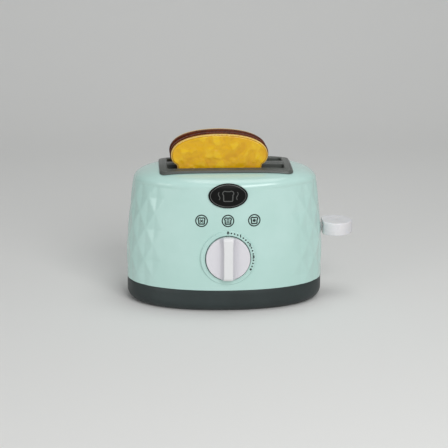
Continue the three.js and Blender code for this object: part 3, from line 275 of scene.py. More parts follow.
def brushed_metal_group(name: str) -> NodeTree:
    """Build the group of fine drawn lines on wire, pins and stamped metal.

    Args:
        name: The group's name.

    Returns:
        The node group, with a Height and a Streak output.
    """
    group = EffectGroup(name, {"Line Scale": 900.0}, ("Height", "Streak"))
    stretch = group.add("ShaderNodeMapping", Vector=group.place, Scale=(1.0, 1.0, 0.06))
    lines = group.noise(group.given["Line Scale"], stretch.outputs[0], Detail=2.0, Roughness=0.7)
    return group.give(Height=lines, Streak=group.span(lines, 0.35, 0.65))


def grip_band_group(name: str) -> NodeTree:
    """Build the group that tells a knob's grip bar from the hollows on both sides of it, where the knob's colour is
    painted darker as shade.

    Args:
        name: The group's name.

    Returns:
        The node group, with a Beside and an Outer output, both 0 on the bar.
    """
    inputs = {"Bar Half": 0.004, "Bar Edge": 0.0008, "Reach": 0.014}
    group = EffectGroup(name, inputs, ("Beside", "Outer"))
    half, edge, reach = (group.given[label] for label in inputs)
    parts = group.add("ShaderNodeSeparateXYZ", Vector=group.place)
    across = group.maths("ABSOLUTE", parts.outputs["X"])
    beside = group.span(across, half, group.maths("ADD", half, edge))
    return group.give(Beside=beside, Outer=group.span(across, half, reach))


class Effect(Enum):
    """The shader node groups that finishes share."""

    GRAIN = "moulded_grain"
    PORES = "bread_pores"
    SWIRL = "poured_swirl"
    GRIP = "grip_band"
    BRUSH = "brushed_metal"


EFFECT_MAKERS: dict[Effect, Callable[[str], NodeTree]] = {
    Effect.GRAIN: moulded_grain_group,
    Effect.PORES: bread_pores_group,
    Effect.SWIRL: poured_swirl_group,
    Effect.GRIP: grip_band_group,
    Effect.BRUSH: brushed_metal_group,
}


class Paint(Sheet):
    """A material in the making, with a Principled shader joined to its output."""

    def __init__(self, name: str) -> None:
        """Start an empty material of a name."""
        self.material = bpy.data.materials.new(name)
        self.material.use_nodes = True
        self.material.node_tree.nodes.clear()
        super().__init__(self.material.node_tree)
        self.shader = self.add("ShaderNodeBsdfPrincipled")
        self.add("ShaderNodeOutputMaterial", Surface=self.shader.outputs[0])

    def effect(self, effect: Effect, **values: float) -> bpy.types.NodeOutputs:
        """Put an effect's group, built once, in the material.

        Args:
            effect: Which effect.
            **values: Its own values, written with underscores for spaces.

        Returns:
            The group's outputs by name.
        """
        group = bpy.data.node_groups.get(effect.value) or EFFECT_MAKERS[effect](effect.value)
        return self.add("ShaderNodeGroup", node_tree=group, **values).outputs

    def shade(self, **values: object) -> None:
        """Feed the shader's inputs, written with underscores for spaces."""
        for label, value in values.items():
            self.feed(self.shader.inputs[label.replace("_", " ")], value)

    def bump(self, height: NodeSocket, depth: float) -> None:
        """Join a height of 0 to 1, as deep as so many millimetres, to the shader's normal."""
        self.shade(Normal=self.add("ShaderNodeBump", Strength=1.0, Distance=depth * MM, Height=height).outputs[0])


# Finishes


@dataclass(frozen=True)
class MouldedPlastic:
    """A moulded plastic: its colour, gloss, grain and how much its tone wanders."""

    name: str
    colour: Colour
    deep: Colour
    roughness: float
    roughness_spread: float = 0.05
    grain_scale: float = 1100.0
    grain_share: float = 0.8
    wave_scale: float = 50.0
    wave_share: float = 0.2
    depth: float = 0.03
    coat: float = 0.0
    coat_roughness: float = 0.16
    sheen: float = 0.5
    glow: float = 0.0
    glow_depth: float = 2.5

    def build(self) -> Material:
        """Make the material.

        Returns:
            The material.
        """
        paint = Paint(self.name)
        grain = paint.effect(
            Effect.GRAIN,
            Grain_Scale=self.grain_scale,
            Grain_Share=self.grain_share,
            Wave_Scale=self.wave_scale,
            Wave_Share=self.wave_share,
        )
        mottle = grain["Mottle"]
        low, high = self.roughness - self.roughness_spread, self.roughness + self.roughness_spread
        paint.shade(
            Base_Color=paint.blend(mottle, self.colour, self.deep),
            Roughness=paint.span(mottle, 0.0, 1.0, low, high),
            Specular_IOR_Level=self.sheen,
            Coat_Weight=self.coat,
            Coat_Roughness=self.coat_roughness,
        )
        paint.bump(grain["Height"], self.depth)
        if self.glow:
            paint.shade(Subsurface_Weight=self.glow, Subsurface_Radius=(1.0, 0.9, 0.8))
            paint.shade(Subsurface_Scale=self.glow_depth * MM)
        return paint.material


@dataclass(frozen=True)
class PlayBread:
    """A painted play-bread surface: its colour, a darker colour in its pores as painted shade, and a lighter one on its
    swellings as a painted highlight.
    """

    name: str
    colour: Colour
    # hollow is painted shade in the pores; light is a painted highlight on the swellings
    hollow: Colour
    light: Colour
    roughness: float
    pore_scale: float
    swell_scale: float
    depth: float
    sheen: float
    hollow_dullness: float = 0.2
    coat_roughness: float = 0.2

    def build(self) -> Material:
        """Make the material.

        Returns:
            The material.
        """
        paint = Paint(self.name)
        made = paint.effect(Effect.PORES, Pore_Scale=self.pore_scale, Swell_Scale=self.swell_scale)
        # Painted highlight: lighter on the swellings
        tone = paint.blend(made["Swell"], self.colour, self.light)
        dull = min(1.0, self.roughness + self.hollow_dullness)
        paint.shade(
            # Painted shade: darker in the pores
            Base_Color=paint.blend(made["Pores"], self.hollow, tone),
            Roughness=paint.span(made["Pores"], 0.0, 1.0, dull, self.roughness),
            Specular_IOR_Level=self.sheen,
            Coat_Roughness=self.coat_roughness,
        )
        paint.bump(made["Height"], self.depth)
        return paint.material


@dataclass(frozen=True)
class PouredSpread:
    """A glossy spread, painted deeper in its swirls' valleys as shade and lighter on their backs as highlight."""

    name: str
    colour: Colour
    # deep is painted shade in the swirls' valleys; light is a painted highlight on their backs
    deep: Colour
    light: Colour
    roughness: float = 0.25
    valley_dullness: float = 0.08
    swirl_scale: float = 135.0
    depth: float = 0.6
    coat: float = 0.4
    coat_roughness: float = 0.15
    sheen: float = 0.3

    def build(self) -> Material:
        """Make the material.

        Returns:
            The material.
        """
        paint = Paint(self.name)
        swirl = paint.effect(Effect.SWIRL, Swirl_Scale=self.swirl_scale)
        # Painted shade in the valleys, then a painted highlight on the backs
        low = paint.blend(swirl["Valley"], self.colour, self.deep)
        dull = self.roughness + self.valley_dullness
        paint.shade(
            Base_Color=paint.blend(swirl["Back"], low, self.light),
            Roughness=paint.span(swirl["Height"], 0.0, 1.0, dull, self.roughness),
            Specular_IOR_Level=self.sheen,
            Coat_Weight=self.coat,
            Coat_Roughness=self.coat_roughness,
        )
        paint.bump(swirl["Height"], self.depth)
        return paint.material


@dataclass(frozen=True)
class GripPlastic:
    """A knob's plastic: polished on the grip bar, duller in the hollows beside it, which are painted darker as shade.
    """

    name: str
    bar: Colour
    # hollow: painted shade, the flanks' colour next to the bar, darker than the bar's white
    hollow: Colour
    # outer: painted shade on the flanks farther from the bar, lighter than hollow but darker than the bar
    outer: Colour
    bar_half: float = 3.9
    reach: float = 14.0
    polish: float = 0.25
    dull: float = 0.42
    depth: float = 0.02

    def build(self) -> Material:
        """Make the material.

        Returns:
            The material.
        """
        paint = Paint(self.name)
        grain = paint.effect(Effect.GRAIN, Grain_Scale=1300.0, Wave_Scale=70.0)
        band = paint.effect(Effect.GRIP, Bar_Half=self.bar_half * MM, Reach=self.reach * MM)
        # Painted shade: the flanks beside the bar are darker, darkest next to it
        shaded_flank = paint.blend(band["Outer"], self.hollow, self.outer)
        paint.shade(
            Base_Color=paint.blend(band["Beside"], self.bar, shaded_flank),
            Roughness=paint.span(band["Beside"], 0.0, 1.0, self.polish, self.dull),
        )
        paint.bump(grain["Height"], self.depth)
        return paint.material


@dataclass(frozen=True)
class DrawnMetal:
    """Steel or brass with fine drawn lines."""

    name: str
    colour: Colour
    deep: Colour
    roughness: float
    roughness_spread: float = 0.07
    line_scale: float = 900.0
    depth: float = 0.01

    def build(self) -> Material:
        """Make the material.

        Returns:
            The material.
        """
        paint = Paint(self.name)
        lines = paint.effect(Effect.BRUSH, Line_Scale=self.line_scale)
        low, high = self.roughness - self.roughness_spread, self.roughness + self.roughness_spread
        paint.shade(
            Base_Color=paint.blend(lines["Streak"], self.colour, self.deep),
            Roughness=paint.span(lines["Streak"], 0.0, 1.0, low, high),
            Metallic=1.0,
        )
        paint.bump(lines["Height"], self.depth)
        return paint.material


class Finish(Enum):
    """Every finish on the toaster."""

    MINT = MouldedPlastic(
        "mint_gloss", linear(193, 226, 219), linear(187, 222, 214), roughness=0.22, roughness_spread=0.03,
        grain_scale=1500.0, grain_share=0.25, wave_scale=45.0, wave_share=0.75, coat=0.4,
    )
    CHARCOAL = MouldedPlastic("charcoal_satin", linear(49, 58, 58), linear(43, 51, 51), roughness=0.44, sheen=0.4)
    BEZEL_GREY = MouldedPlastic("bezel_grey", linear(86, 90, 86), linear(77, 81, 77), roughness=0.36)
    WHITE = MouldedPlastic(
        "warm_white", linear(231, 230, 232), linear(224, 223, 226), roughness=0.3, roughness_spread=0.04,
        grain_scale=1300.0, grain_share=0.4, wave_scale=70.0, wave_share=0.6, coat=0.15, glow=0.3,
    )
    # hollow and outer are painted shade on the knob's flanks, darker than the bar
    GRIP_WHITE = GripPlastic(
        "grip_white", bar=linear(232, 232, 233), hollow=linear(212, 210, 216), outer=linear(224, 222, 227)
    )
    BADGE_BLACK = MouldedPlastic(
        "badge_black", linear(14, 15, 14), linear(10, 11, 10), roughness=0.4, roughness_spread=0.04,
        grain_scale=1500.0, grain_share=0.3, wave_scale=60.0, wave_share=0.6, depth=0.02, sheen=0.15,
    )
    BADGE_GREY = MouldedPlastic(
        "badge_grey", linear(84, 86, 84), linear(72, 74, 72), roughness=0.4,
        grain_scale=1500.0, grain_share=0.5, wave_scale=60.0, wave_share=0.5, depth=0.01,
    )
    INK = MouldedPlastic(
        "print_ink", linear(13, 30, 27), linear(19, 37, 33), roughness=0.42,
        grain_scale=2400.0, wave_scale=80.0, depth=0.004,
    )
    INNER = MouldedPlastic(
        "inner_grey", linear(120, 124, 128), linear(104, 108, 112), roughness=0.5, roughness_spread=0.06,
        wave_share=0.3,
    )
    GEAR = MouldedPlastic(
        "natural_nylon", linear(233, 228, 212), linear(222, 216, 198), roughness=0.4,
        grain_scale=1200.0, grain_share=0.6, wave_scale=60.0, wave_share=0.4, depth=0.02,
    )
    STEEL = DrawnMetal("drawn_steel", linear(184, 188, 192), linear(150, 154, 158), roughness=0.33)
    BRASS = DrawnMetal("stamped_brass", linear(206, 172, 84), linear(176, 140, 60), roughness=0.35)
    # hollow and light are painted shade in the pores and a painted highlight on the swellings
    RIM = PlayBread(
        # The rim's pale colour is partly its own and partly a painted highlight along its rounded edge
        "pale_rim", colour=linear(238, 196, 98), hollow=linear(226, 172, 62), light=linear(242, 208, 120),
        roughness=0.45, pore_scale=520.0, swell_scale=90.0, depth=0.05, sheen=0.3,
    )
    # deep and light are painted shade in the swirls' valleys and a painted highlight on their backs
    SPREAD = PouredSpread(
        "yellow_spread", colour=linear(228, 175, 8), deep=linear(219, 162, 5), light=linear(236, 190, 24)
    )
    # hollow and light are painted shade in the pores and a painted highlight on the swellings
    CRUST = PlayBread(
        "brown_crust", colour=linear(84, 32, 8), hollow=linear(58, 21, 5), light=linear(106, 44, 12),
        roughness=0.36, pore_scale=480.0, swell_scale=120.0, depth=0.06, sheen=0.12,
    )

    def material(self) -> Material:
        """Return this finish's material, built once."""
        return bpy.data.materials.get(self.value.name) or self.value.build()


# Sums that several pieces use


def between(low: float, high: float, share: float) -> float:
    """Return the number at a share of the way from low to high."""
    return low + (high - low) * share


def turns_round(steps: int) -> list[float]:
    """Return the turns of even steps round a circle."""
    return [FULL_TURN * step / steps for step in range(steps)]


def on_circle(radius: float, turn: float, middle: Pair = (0.0, 0.0)) -> Pair:
    """Return a circle's point at a turn."""
    return middle[0] + radius * math.cos(turn), middle[1] + radius * math.sin(turn)


def corner_arc(radius: float, steps: int) -> list[Pair]:
    """Return a quarter round's points from the side to the top, as insets and heights."""
    turns = [QUARTER_TURN * step / steps for step in range(steps + 1)]
    return [(radius * (1 - math.cos(turn)), radius * math.sin(turn)) for turn in turns]


def last_that_holds(high: float, holds: Callable[[float], bool]) -> float:
    """Close in, from 0 and a high number, on the last number at which something holds.

    Args:
        high: A number at which it holds no longer.
        holds: The test.

    Returns:
        The number.
    """
    low = 0.0
    for _ in range(HALVINGS):
        middle = (low + high) / 2
        low, high = (middle, high) if holds(middle) else (low, middle)
    return low


def bezier(controls: Sequence[Vector], share: float) -> tuple[Vector, Vector]:
    """Work out a place on a Bezier curve of any degree.

    Args:
        controls: The curve's control points.
        share: How far along the curve.

    Returns:
        The point and the curve's direction there.
    """
    points, along = list(controls), Vector((1, 0))
    while len(points) > 1:
        along = points[-1] - points[0]
        points = [a.lerp(b, share) for a, b in zip(points, points[1:])]
    return points[0], along.normalized()


def run_along(points: Sequence[Vector]) -> list[float]:
    """Return the length that is run along points up to each of them."""
    run = [0.0]
    for a, b in zip(points, points[1:]):
        run.append(run[-1] + (b - a).length)
    return run


def find_lengths(run: Sequence[float], wanted: Sequence[float]) -> list[tuple[int, float]]:
    """Find growing lengths among the steps of a run.

    Args:
        run: The length up to each point.
        wanted: The lengths to find.

    Returns:
        For each length, the step that holds it and the share of that step.
    """
    found, place = [], 0
    for length in wanted:
        while place < len(run) - 2 and run[place + 1] < length:
            place += 1
        found.append((place, (length - run[place]) / max(1e-9, run[place + 1] - run[place])))
    return found


# Mesh helpers


def add_object(name: str, data: ID) -> Object:
    """Link a new object with a mesh, curve, lamp or camera to the scene and return it."""
    made = bpy.data.objects.new(name, data)
    bpy.context.scene.collection.objects.link(made)
    return made


def shade_edges(mesh: BMesh, sharp_degrees: float) -> None:
    """Make a mesh smooth but for the edges that turn more than some degrees."""
    limit = math.radians(sharp_degrees)
    for face in mesh.faces:
        face.smooth = True
    for edge in mesh.edges:
        edge.smooth = len(edge.link_faces) == 2 and edge.calc_face_angle(0.0) < limit


def object_from(name: str, mesh: BMesh, sharp_degrees: float = SOFT_EDGE) -> Object:
    """Turn a bmesh in millimetres into an object in metres.

    Args:
        name: The object's name.
        mesh: The bmesh, which is freed.
        sharp_degrees: Edges that turn more than this stay sharp.

    Returns:
        The object, linked to the scene.
    """
    bmesh.ops.recalc_face_normals(mesh, faces=mesh.faces)
    mesh.normal_update()
    shade_edges(mesh, sharp_degrees)
    bmesh.ops.transform(mesh, matrix=Matrix.Scale(MM, 4), verts=mesh.verts)
    data = bpy.data.meshes.new(name)
    mesh.to_mesh(data)
    mesh.free()
    return add_object(name, data)


def woven(columns: int, rows: int, place: Place, around: bool = True) -> BMesh:
    """Bend a grid into a surface, closed round its columns unless told otherwise.

    Args:
        columns: Steps along the first direction.
        rows: Steps along the second direction.
        place: Gives the point of a column and row, in millimetres.
        around: Whether the last column meets the first.

    Returns:
        The bmesh.
    """
    mesh = bmesh.new()
    bmesh.ops.create_grid(mesh, x_segments=columns, y_segments=rows, size=1.0)
    for vert in mesh.verts:
        column = round((vert.co.x + 1) / 2 * columns)
        row = round((vert.co.y + 1) / 2 * rows)
        vert.co = place(column % columns if around else column, row)
    if around:
        bmesh.ops.remove_doubles(mesh, verts=mesh.verts, dist=1e-5)
    return mesh


def capped(mesh: BMesh) -> BMesh:
    """Close every open loop with a flat face and return the mesh."""
    open_edges = [edge for edge in mesh.edges if len(edge.link_faces) == 1]
    bmesh.ops.holes_fill(mesh, edges=open_edges, sides=0)
    return mesh


def work_in(target: Object) -> None:
    """Work an object's modifiers into its mesh."""
    graph = bpy.context.evaluated_depsgraph_get()
    old, target.data = target.data, bpy.data.meshes.new_from_object(target.evaluated_get(graph))
    target.modifiers.clear()
    bpy.data.meshes.remove(old)


def cut_with(target: Object, cutter: Object, sharp_degrees: float = SOFT_EDGE) -> None:
    """Cut one object out of another for good, and remove the cutter.

    Args:
        target: The object that is cut.
        cutter: What is taken away.
        sharp_degrees: Edges of the target that turn more than this stay sharp.
    """
    modifier = target.modifiers.new("cut", "BOOLEAN")
    modifier.operation, modifier.solver, modifier.object = "DIFFERENCE", "EXACT", cutter
    work_in(target)
    bpy.data.objects.remove(cutter)
    mesh = bmesh.new()
    mesh.from_mesh(target.data)
    shade_edges(mesh, sharp_degrees)
    mesh.to_mesh(target.data)
    mesh.free()


def block(low: Sequence[float], high: Sequence[float]) -> Object:
    """Make a box to cut with, from its lowest to its highest corner.

    Args:
        low: Its lowest corner, in millimetres.
        high: Its highest corner.

    Returns:
        The object.
    """
    mesh = bmesh.new()
    bmesh.ops.create_cube(mesh, size=1.0)
    bmesh.ops.scale(mesh, vec=[b - a for a, b in zip(low, high)], verts=mesh.verts)
    bmesh.ops.translate(mesh, vec=[(a + b) / 2 for a, b in zip(low, high)], verts=mesh.verts)
    return object_from("cutter", mesh)


def drum(radius: float, place: Matrix, depth: float, segments: int = 48) -> Object:
    """Make a round bar to cut with, centred on a place, along its local z.

    Args:
        radius: Its radius in millimetres.
        place: Where its middle lies, in millimetres.
        depth: Its length.
        segments: Steps round it.

    Returns:
        The object.
    """
    mesh = bmesh.new()
    bmesh.ops.create_cone(
        mesh, cap_ends=True, segments=segments, radius1=radius, radius2=radius, depth=depth, matrix=place
    )
    return object_from("cutter", mesh)


def dress(piece: Object, finish: Finish, body: str) -> Object:
    """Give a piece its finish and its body.

    Args:
        piece: The object.
        finish: Its finish.
        body: The body it rides on.

    Returns:
        The piece.
    """
    piece.data.materials.clear()
    piece.data.materials.append(finish.material())
    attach(piece, body)
    return piece


# The body's form


@dataclass(frozen=True)
class Level:
    """One height of the body: half sizes and the power of its superellipse."""

    z: float
    half_width: float
    half_depth: float
    power: float

    def point(self, turn: float) -> Vector:
        """Work out the point at a turn round the level.

        Args:
            turn: The turn in radians, from the lever's side.

        Returns:
            The point.
        """
        cosine, sine = math.cos(turn), math.sin(turn)
        share = 2 / self.power
        x = self.half_width * math.copysign(abs(cosine) ** share, cosine)
        y = self.half_depth * math.copysign(abs(sine) ** share, sine)
        return Vector((x, y, self.z))

    def outward(self, point: Vector) -> Vector:
        """Work out the level's outward direction.

        Args:
            point: A point on the level.

        Returns:
            The direction there.
        """
        x = abs(point.x / self.half_width) ** (self.power - 1) / self.half_width
        y = abs(point.y / self.half_depth) ** (self.power - 1) / self.half_depth
        return Vector((math.copysign(x, point.x), math.copysign(y, point.y), 0)).normalized()


@dataclass(frozen=True)
class BodyForm:
    """The outer form that the casing, base, bezel, badge and prints share."""

    half_width: float = 91.4
    half_depth: float = 53.8
    power: float = 2.2
    base_height: float = 20.4
    shoulder: float = 114.0
    taper_start: float = 50.0
    width_taper: float = 6.4
    taper_power: float = 1.25
    draft: float = 7.0
    crown_height: float = 12.0
    crown_reach: float = 34.0
    crown_power: float = 1.2
    dial_height: float = 51.0
    slope_step: float = 0.2

    @property
    def slope(self) -> float:
        """How far the front leans back per millimetre of height."""
        return self.draft / (self.shoulder - self.base_height)

    def face_depth(self, z: float) -> float:
        """Return the half depth at a height."""
        return self.half_depth - self.slope * (z - self.base_height)

    def level(self, z: float) -> Level:
        """Work out the body's level below the shoulder.

        Args:
            z: The height.

        Returns:
            The level.
        """
        rise = max(0.0, (z - self.taper_start) / (self.shoulder - self.taper_start))
        width = self.half_width - self.width_taper * rise**self.taper_power
        return Level(z, width, self.face_depth(z), self.power)

    def crown(self, turn: float) -> Level:
        """Work out the crown's level.

        Args:
            turn: The turn in radians from the shoulder towards the top.

        Returns:
            The level.
        """
        top = self.level(self.shoulder)
        return Level(
            self.shoulder + self.crown_height * math.sin(turn),
            top.half_width - self.crown_reach * (1 - math.cos(turn)),
            top.half_depth * math.sqrt(max(0.0, math.cos(turn))),
            self.power + self.crown_power * turn / QUARTER_TURN,
        )

    def crown_height_at(self, x: float, y: float) -> float:
        """Work out how high the crown is over a point of the plan.

        Args:
            x: The point's place sideways.
            y: The point's place in depth.

        Returns:
            The height.
        """

        def covers(turn: float) -> bool:
            """Whether the crown's level at a turn goes round the point."""
            level = self.crown(turn)
            reach = abs(x / level.half_width) ** level.power
            return reach + abs(y / max(level.half_depth, 1e-6)) ** level.power <= 1

        return self.shoulder + self.crown_height * math.sin(last_that_holds(QUARTER_TURN - 1e-4, covers))

    def front_depth(self, x: float, z: float) -> float:
        """Work out the front's distance from the middle.

        Args:
            x: The place sideways.
            z: The height.

        Returns:
            The distance.
        """
        if z <= self.shoulder:
            level = self.level(z)
        else:
            level = self.crown(math.asin(min(0.999, (z - self.shoulder) / self.crown_height)))
        side = min(1.0, abs(x / level.half_width)) ** level.power
        return level.half_depth * (1 - side) ** (1 / level.power)

    def front(self, x: float, z: float) -> tuple[Vector, Vector]:
        """Work out a place on the front.

        Args:
            x: The place sideways.
            z: The height.

        Returns:
            The point and the outward direction.
        """
        step = self.slope_step
        across = (self.front_depth(x + step, z) - self.front_depth(x - step, z)) / (2 * step)
        up = (self.front_depth(x, z + step) - self.front_depth(x, z - step)) / (2 * step)
        return Vector((x, -self.front_depth(x, z), z)), Vector((-across, -1.0, -up)).normalized()

    def dial_frame(self) -> Matrix:
        """Return the dial's frame: local z out of the face, local y up along it."""
        turn = Matrix.Rotation(QUARTER_TURN - math.atan(self.slope), 4, "X")
        return Matrix.Translation((0, -self.face_depth(self.dial_height), self.dial_height)) @ turn


FORM = BodyForm()


# Sub-assemblies


@dataclass
class Casing:
    """The mint casing: a thin shell with soft diamond facets round both ends, and the dial's boss."""

    form: BodyForm = FORM
    wall: float = 2.5
    facet_half_width: float = 9.0
    facet_half_height: float = 14.64
    facet_start: float = 30.2
    facet_columns: int = 6
    facet_rows: int = 6
    rise: float = 0.45
    sink: float = 0.65
    crease: Pair = (0.5, 0.75)
    samples: int = 800
    steps_per_column: int = 9
    front_steps: int = 22
    wall_rows: int = 100
    crown_rows: int = 18
    opening_half: Pair = (58.0, 24.6)
    opening_corner: float = 5.0
    seam: float = 0.3
    slot_low: tuple[float, float, float] = (70.0, -3.6, 25.1)
    slot_high: tuple[float, float, float] = (100.0, 3.6, 69.3)
    shaft_hole: float = 3.3
    boss_sides: int = 128
    boss_radius: float = 25.2
    boss_proud: float = 0.8
    boss_slope: float = 0.7
    boss_slope_steps: int = 8
    boss_back: float = 3.0
    lip_radius: float = 22.4
    lip_proud: float = 0.3
    groove: Pair = (19.9, 20.9)
    groove_depth: float = 1.0
    sharp_degrees: float = 40.0
    turns: list[float] = field(default_factory=list)
    lengths: list[float] = field(default_factory=list)

    def measure_columns(self) -> None:
        """Work out the turn and the length along the side of every column of one quarter."""
        level = self.form.level(self.form.shoulder / 2)
        turns = [QUARTER_TURN * index / self.samples for index in range(self.samples + 1)]
        run = run_along([level.point(turn) for turn in turns])
        facet_end = self.facet_half_width * self.facet_columns
        facet_steps = self.steps_per_column * self.facet_columns
        self.lengths = [facet_end * i / facet_steps for i in range(facet_steps)]
        rest = run[-1] - facet_end
        self.lengths += [facet_end + rest * i / self.front_steps for i in range(self.front_steps + 1)]
        found = find_lengths(run, self.lengths)
        self.turns = [between(turns[place], turns[place + 1], share) for place, share in found]
        self.turns[-1] = QUARTER_TURN

    def lattice_point(self, column: int, row: int, odd: int) -> float:
        """Return the offset of one crossing of the facets' edges; odd turns the pattern over."""
        if abs(column) >= self.facet_columns or not 0 <= row < self.facet_rows:
            return 0.0
        return self.rise if (column + row + odd) % 2 == 0 else -self.sink

    def lattice(self, across: float, up: float, odd: int) -> float:
        """Work out the offset between the crossings round a place, on the facets' flat triangles.

        Args:
            across: The place in columns.
            up: The place in rows.
            odd: 1 turns the pattern over.

        Returns:
            The offset.
        """
        column, row = math.floor(across), math.floor(up)
        u, v = across - column, up - row
        a, b, c, d = (
            self.lattice_point(column + right, row + top, odd) for right, top in ((0, 0), (1, 0), (1, 1), (0, 1))
        )
        if (column + row + odd) % 2 == 0:
            return a + (b - a) * u + (c - b) * v if u > v else a + (c - d) * u + (d - a) * v
        if u + v < 1:
            return a + (b - a) * u + (d - a) * v
        return c + (d - c) * (1 - u) + (b - c) * (1 - v)

    def facet(self, length: float, z: float, odd: int) -> float:
        """Work out the facets' offset at a place of the wall, with softened creases.

        Args:
            length: The length from the end's middle.
            z: The height.
            odd: 1 turns the pattern over.

        Returns:
            The offset.
        """
        total, weight = 0.0, 0.0
        for du in (-1, 0, 1):
            for dv in (-1, 0, 1):
                share = 2.0 / (1 + abs(du) + abs(dv))
                across = (length + du * self.crease[0]) / self.facet_half_width
                up = (z + dv * self.crease[1] - self.facet_start) / self.facet_half_height
                total += share * self.lattice(across, up, odd)
                weight += share
        return total / weight

    def crown_end(self, turn: float) -> float:
        """Work out where a column of the crown reaches the opening under the bezel.

        Args:
            turn: The column's turn.

        Returns:
            The crown's turn there.
        """

        def outside(rise: float) -> bool:
            """Whether the column is outside the opening at a turn of the crown."""
            point = self.form.crown(rise).point(turn)
            dx = max(0.0, abs(point.x) - (self.opening_half[0] - self.opening_corner))
            dy = max(0.0, abs(point.y) - (self.opening_half[1] - self.opening_corner))
            return math.hypot(dx, dy) > self.opening_corner

        return last_that_holds(QUARTER_TURN - 1e-3, outside)

    def shell(self) -> Object:
        """Build the casing's wall with its lever slot, shaft hole and groove.

        Returns:
            The shell.
        """
        self.measure_columns()
        quarter = len(self.turns) - 1
        bottom = self.form.base_height + self.seam
        ends = [self.crown_end(turn) for turn in self.turns]

        def place(column: int, row: int) -> Vector:
            """Work out a point of the shell.

            Args:
                column: Its column round the body.
                row: Its row, up the wall and over the crown.

            Returns:
                The point.
            """
            side, along = divmod(column, quarter)
            index = along if side % 2 == 0 else quarter - along
            turn = side * QUARTER_TURN + (self.turns[index] if side % 2 == 0 else QUARTER_TURN - self.turns[index])
            if row > self.wall_rows:
                return self.form.crown(ends[index] * (row - self.wall_rows) / self.crown_rows).point(turn)
            z = bottom + (self.form.shoulder - bottom) * row / self.wall_rows
            level = self.form.level(z)
            point = level.point(turn)
            return point + level.outward(point) * self.facet(self.lengths[index], z, int(side in (1, 2)))

        mesh = woven(4 * quarter, self.wall_rows + self.crown_rows, place)
        shell = object_from("casing_shell", mesh, self.sharp_degrees)
        thick = shell.modifiers.new("wall", "SOLIDIFY")
        thick.thickness, thick.offset = self.wall * MM, -1.0
        work_in(shell)
        frame_of = self.form.dial_frame()
        cut_with(shell, block(self.slot_low, self.slot_high), self.sharp_degrees)
        cut_with(shell, drum(self.shaft_hole, frame_of, 14.0), self.sharp_degrees)
        cut_with(shell, drum(self.groove[1], frame_of, 2 * self.groove_depth, 96), self.sharp_degrees)
        return shell

    def boss_profile(self) -> list[Pair]:
        """Draw the boss's section: the seat under the knob, the groove, the lip and the outer slope.

        Returns:
            Its points, as radii and heights.
        """
        hole, top, crest = self.shaft_hole, self.boss_proud, self.boss_proud + self.lip_proud
        (inner, outer), lip, floor = self.groove, self.lip_radius, -self.groove_depth
        profile = [(hole, -0.6), (hole, 0.1), (inner - 0.1, 0.1), (inner, 0.0)]
        profile += [(inner, floor), (outer, floor), (outer, crest - 0.3), (outer + 0.3, crest)]
        profile += [(lip - 0.4, crest), (lip - 0.1, top + self.lip_proud * 0.7), (lip, top)]
        for step in range(self.boss_slope_steps + 1):
            share = step / self.boss_slope_steps
            fall = (share * share * (3 - 2 * share)) * (top - 0.03)
            profile.append((self.boss_radius - self.boss_slope * (1 - share), top - fall))
        return [*profile, (self.boss_radius + 0.05, -self.boss_back), (hole, -self.boss_back)]

    def boss(self) -> Object:
        """Build the round boss behind the dial.

        Returns:
            The boss.
        """
        profile, frame_of = self.boss_profile(), self.form.dial_frame()

        def place(column: int, row: int) -> Vector:
            """Return a point of the turned boss."""
            radius, height = profile[row % len(profile)]
            return frame_of @ Vector((*on_circle(radius, FULL_TURN * column / self.boss_sides), height))

        return object_from("dial_boss", woven(self.boss_sides, len(profile), place))

    def build(self) -> list[Object]:
        """Make and dress the casing's pieces.

        Returns:
            The pieces.
        """
        shell = dress(self.shell(), Finish.MINT, "body")
        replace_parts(shell, "casing")
        return [shell, dress(self.boss(), Finish.MINT, "body")]


@dataclass
class BaseTray:
    """The dark base: a tray with a rounded lower edge and four screw counterbores."""

    form: BodyForm = FORM
    edge: float = 9.0
    edge_steps: int = 10
    side_heights: tuple[float, ...] = (11.0, 13.0, 16.0)
    wall: float = 3.0
    floor: float = 2.5
    floor_round: Pair = (5.0, 6.0)
    rim: float = 0.5
    columns: int = 200
    screw_at: Pair = (73.12, 24.0)
    counterbore: Pair = (3.3, 7.0)
    screw_hole: float = 1.6

    def profile(self) -> list[Pair]:
        """Draw the tray's section from the middle of the underside to the middle of the floor.

        Returns:
            Its points, as heights and insets.
        """
        top, wall, rim = self.form.base_height, self.wall, self.rim
        points = [(height, self.edge - reach) for height, reach in corner_arc(self.edge, self.edge_steps)]
        points += [(z, 0.0) for z in (*self.side_heights, top - rim)]
        points += [(top - rim * 0.3, rim * 0.3), (top, rim), (top, wall)]
        run, rise = self.floor_round
        return [*points, (self.floor + rise, wall), (self.floor, wall + run)]

    def build(self) -> list[Object]:
        """Make and dress the tray.

        Returns:
            The tray alone.
        """
        form, profile = self.form, self.profile()

        def place(column: int, row: int) -> Vector:
            """Return a point of the tray."""
            z, inset = profile[row]
            level = Level(z, form.half_width - inset, form.face_depth(z) - inset, form.power)
            return level.point(FULL_TURN * column / self.columns)

        tray = object_from("base_tray", capped(woven(self.columns, len(profile) - 1, place)))
        radius, depth = self.counterbore
        for side_x in (-1, 1):
            for side_y in (-1, 1):
                at = Matrix.Translation((side_x * self.screw_at[0], side_y * self.screw_at[1], 0))
                cut_with(tray, drum(radius, at, depth * 2))
                cut_with(tray, drum(self.screw_hole, at, 40.0))
        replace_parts(dress(tray, Finish.CHARCOAL, "body"), "base")
        return [tray]


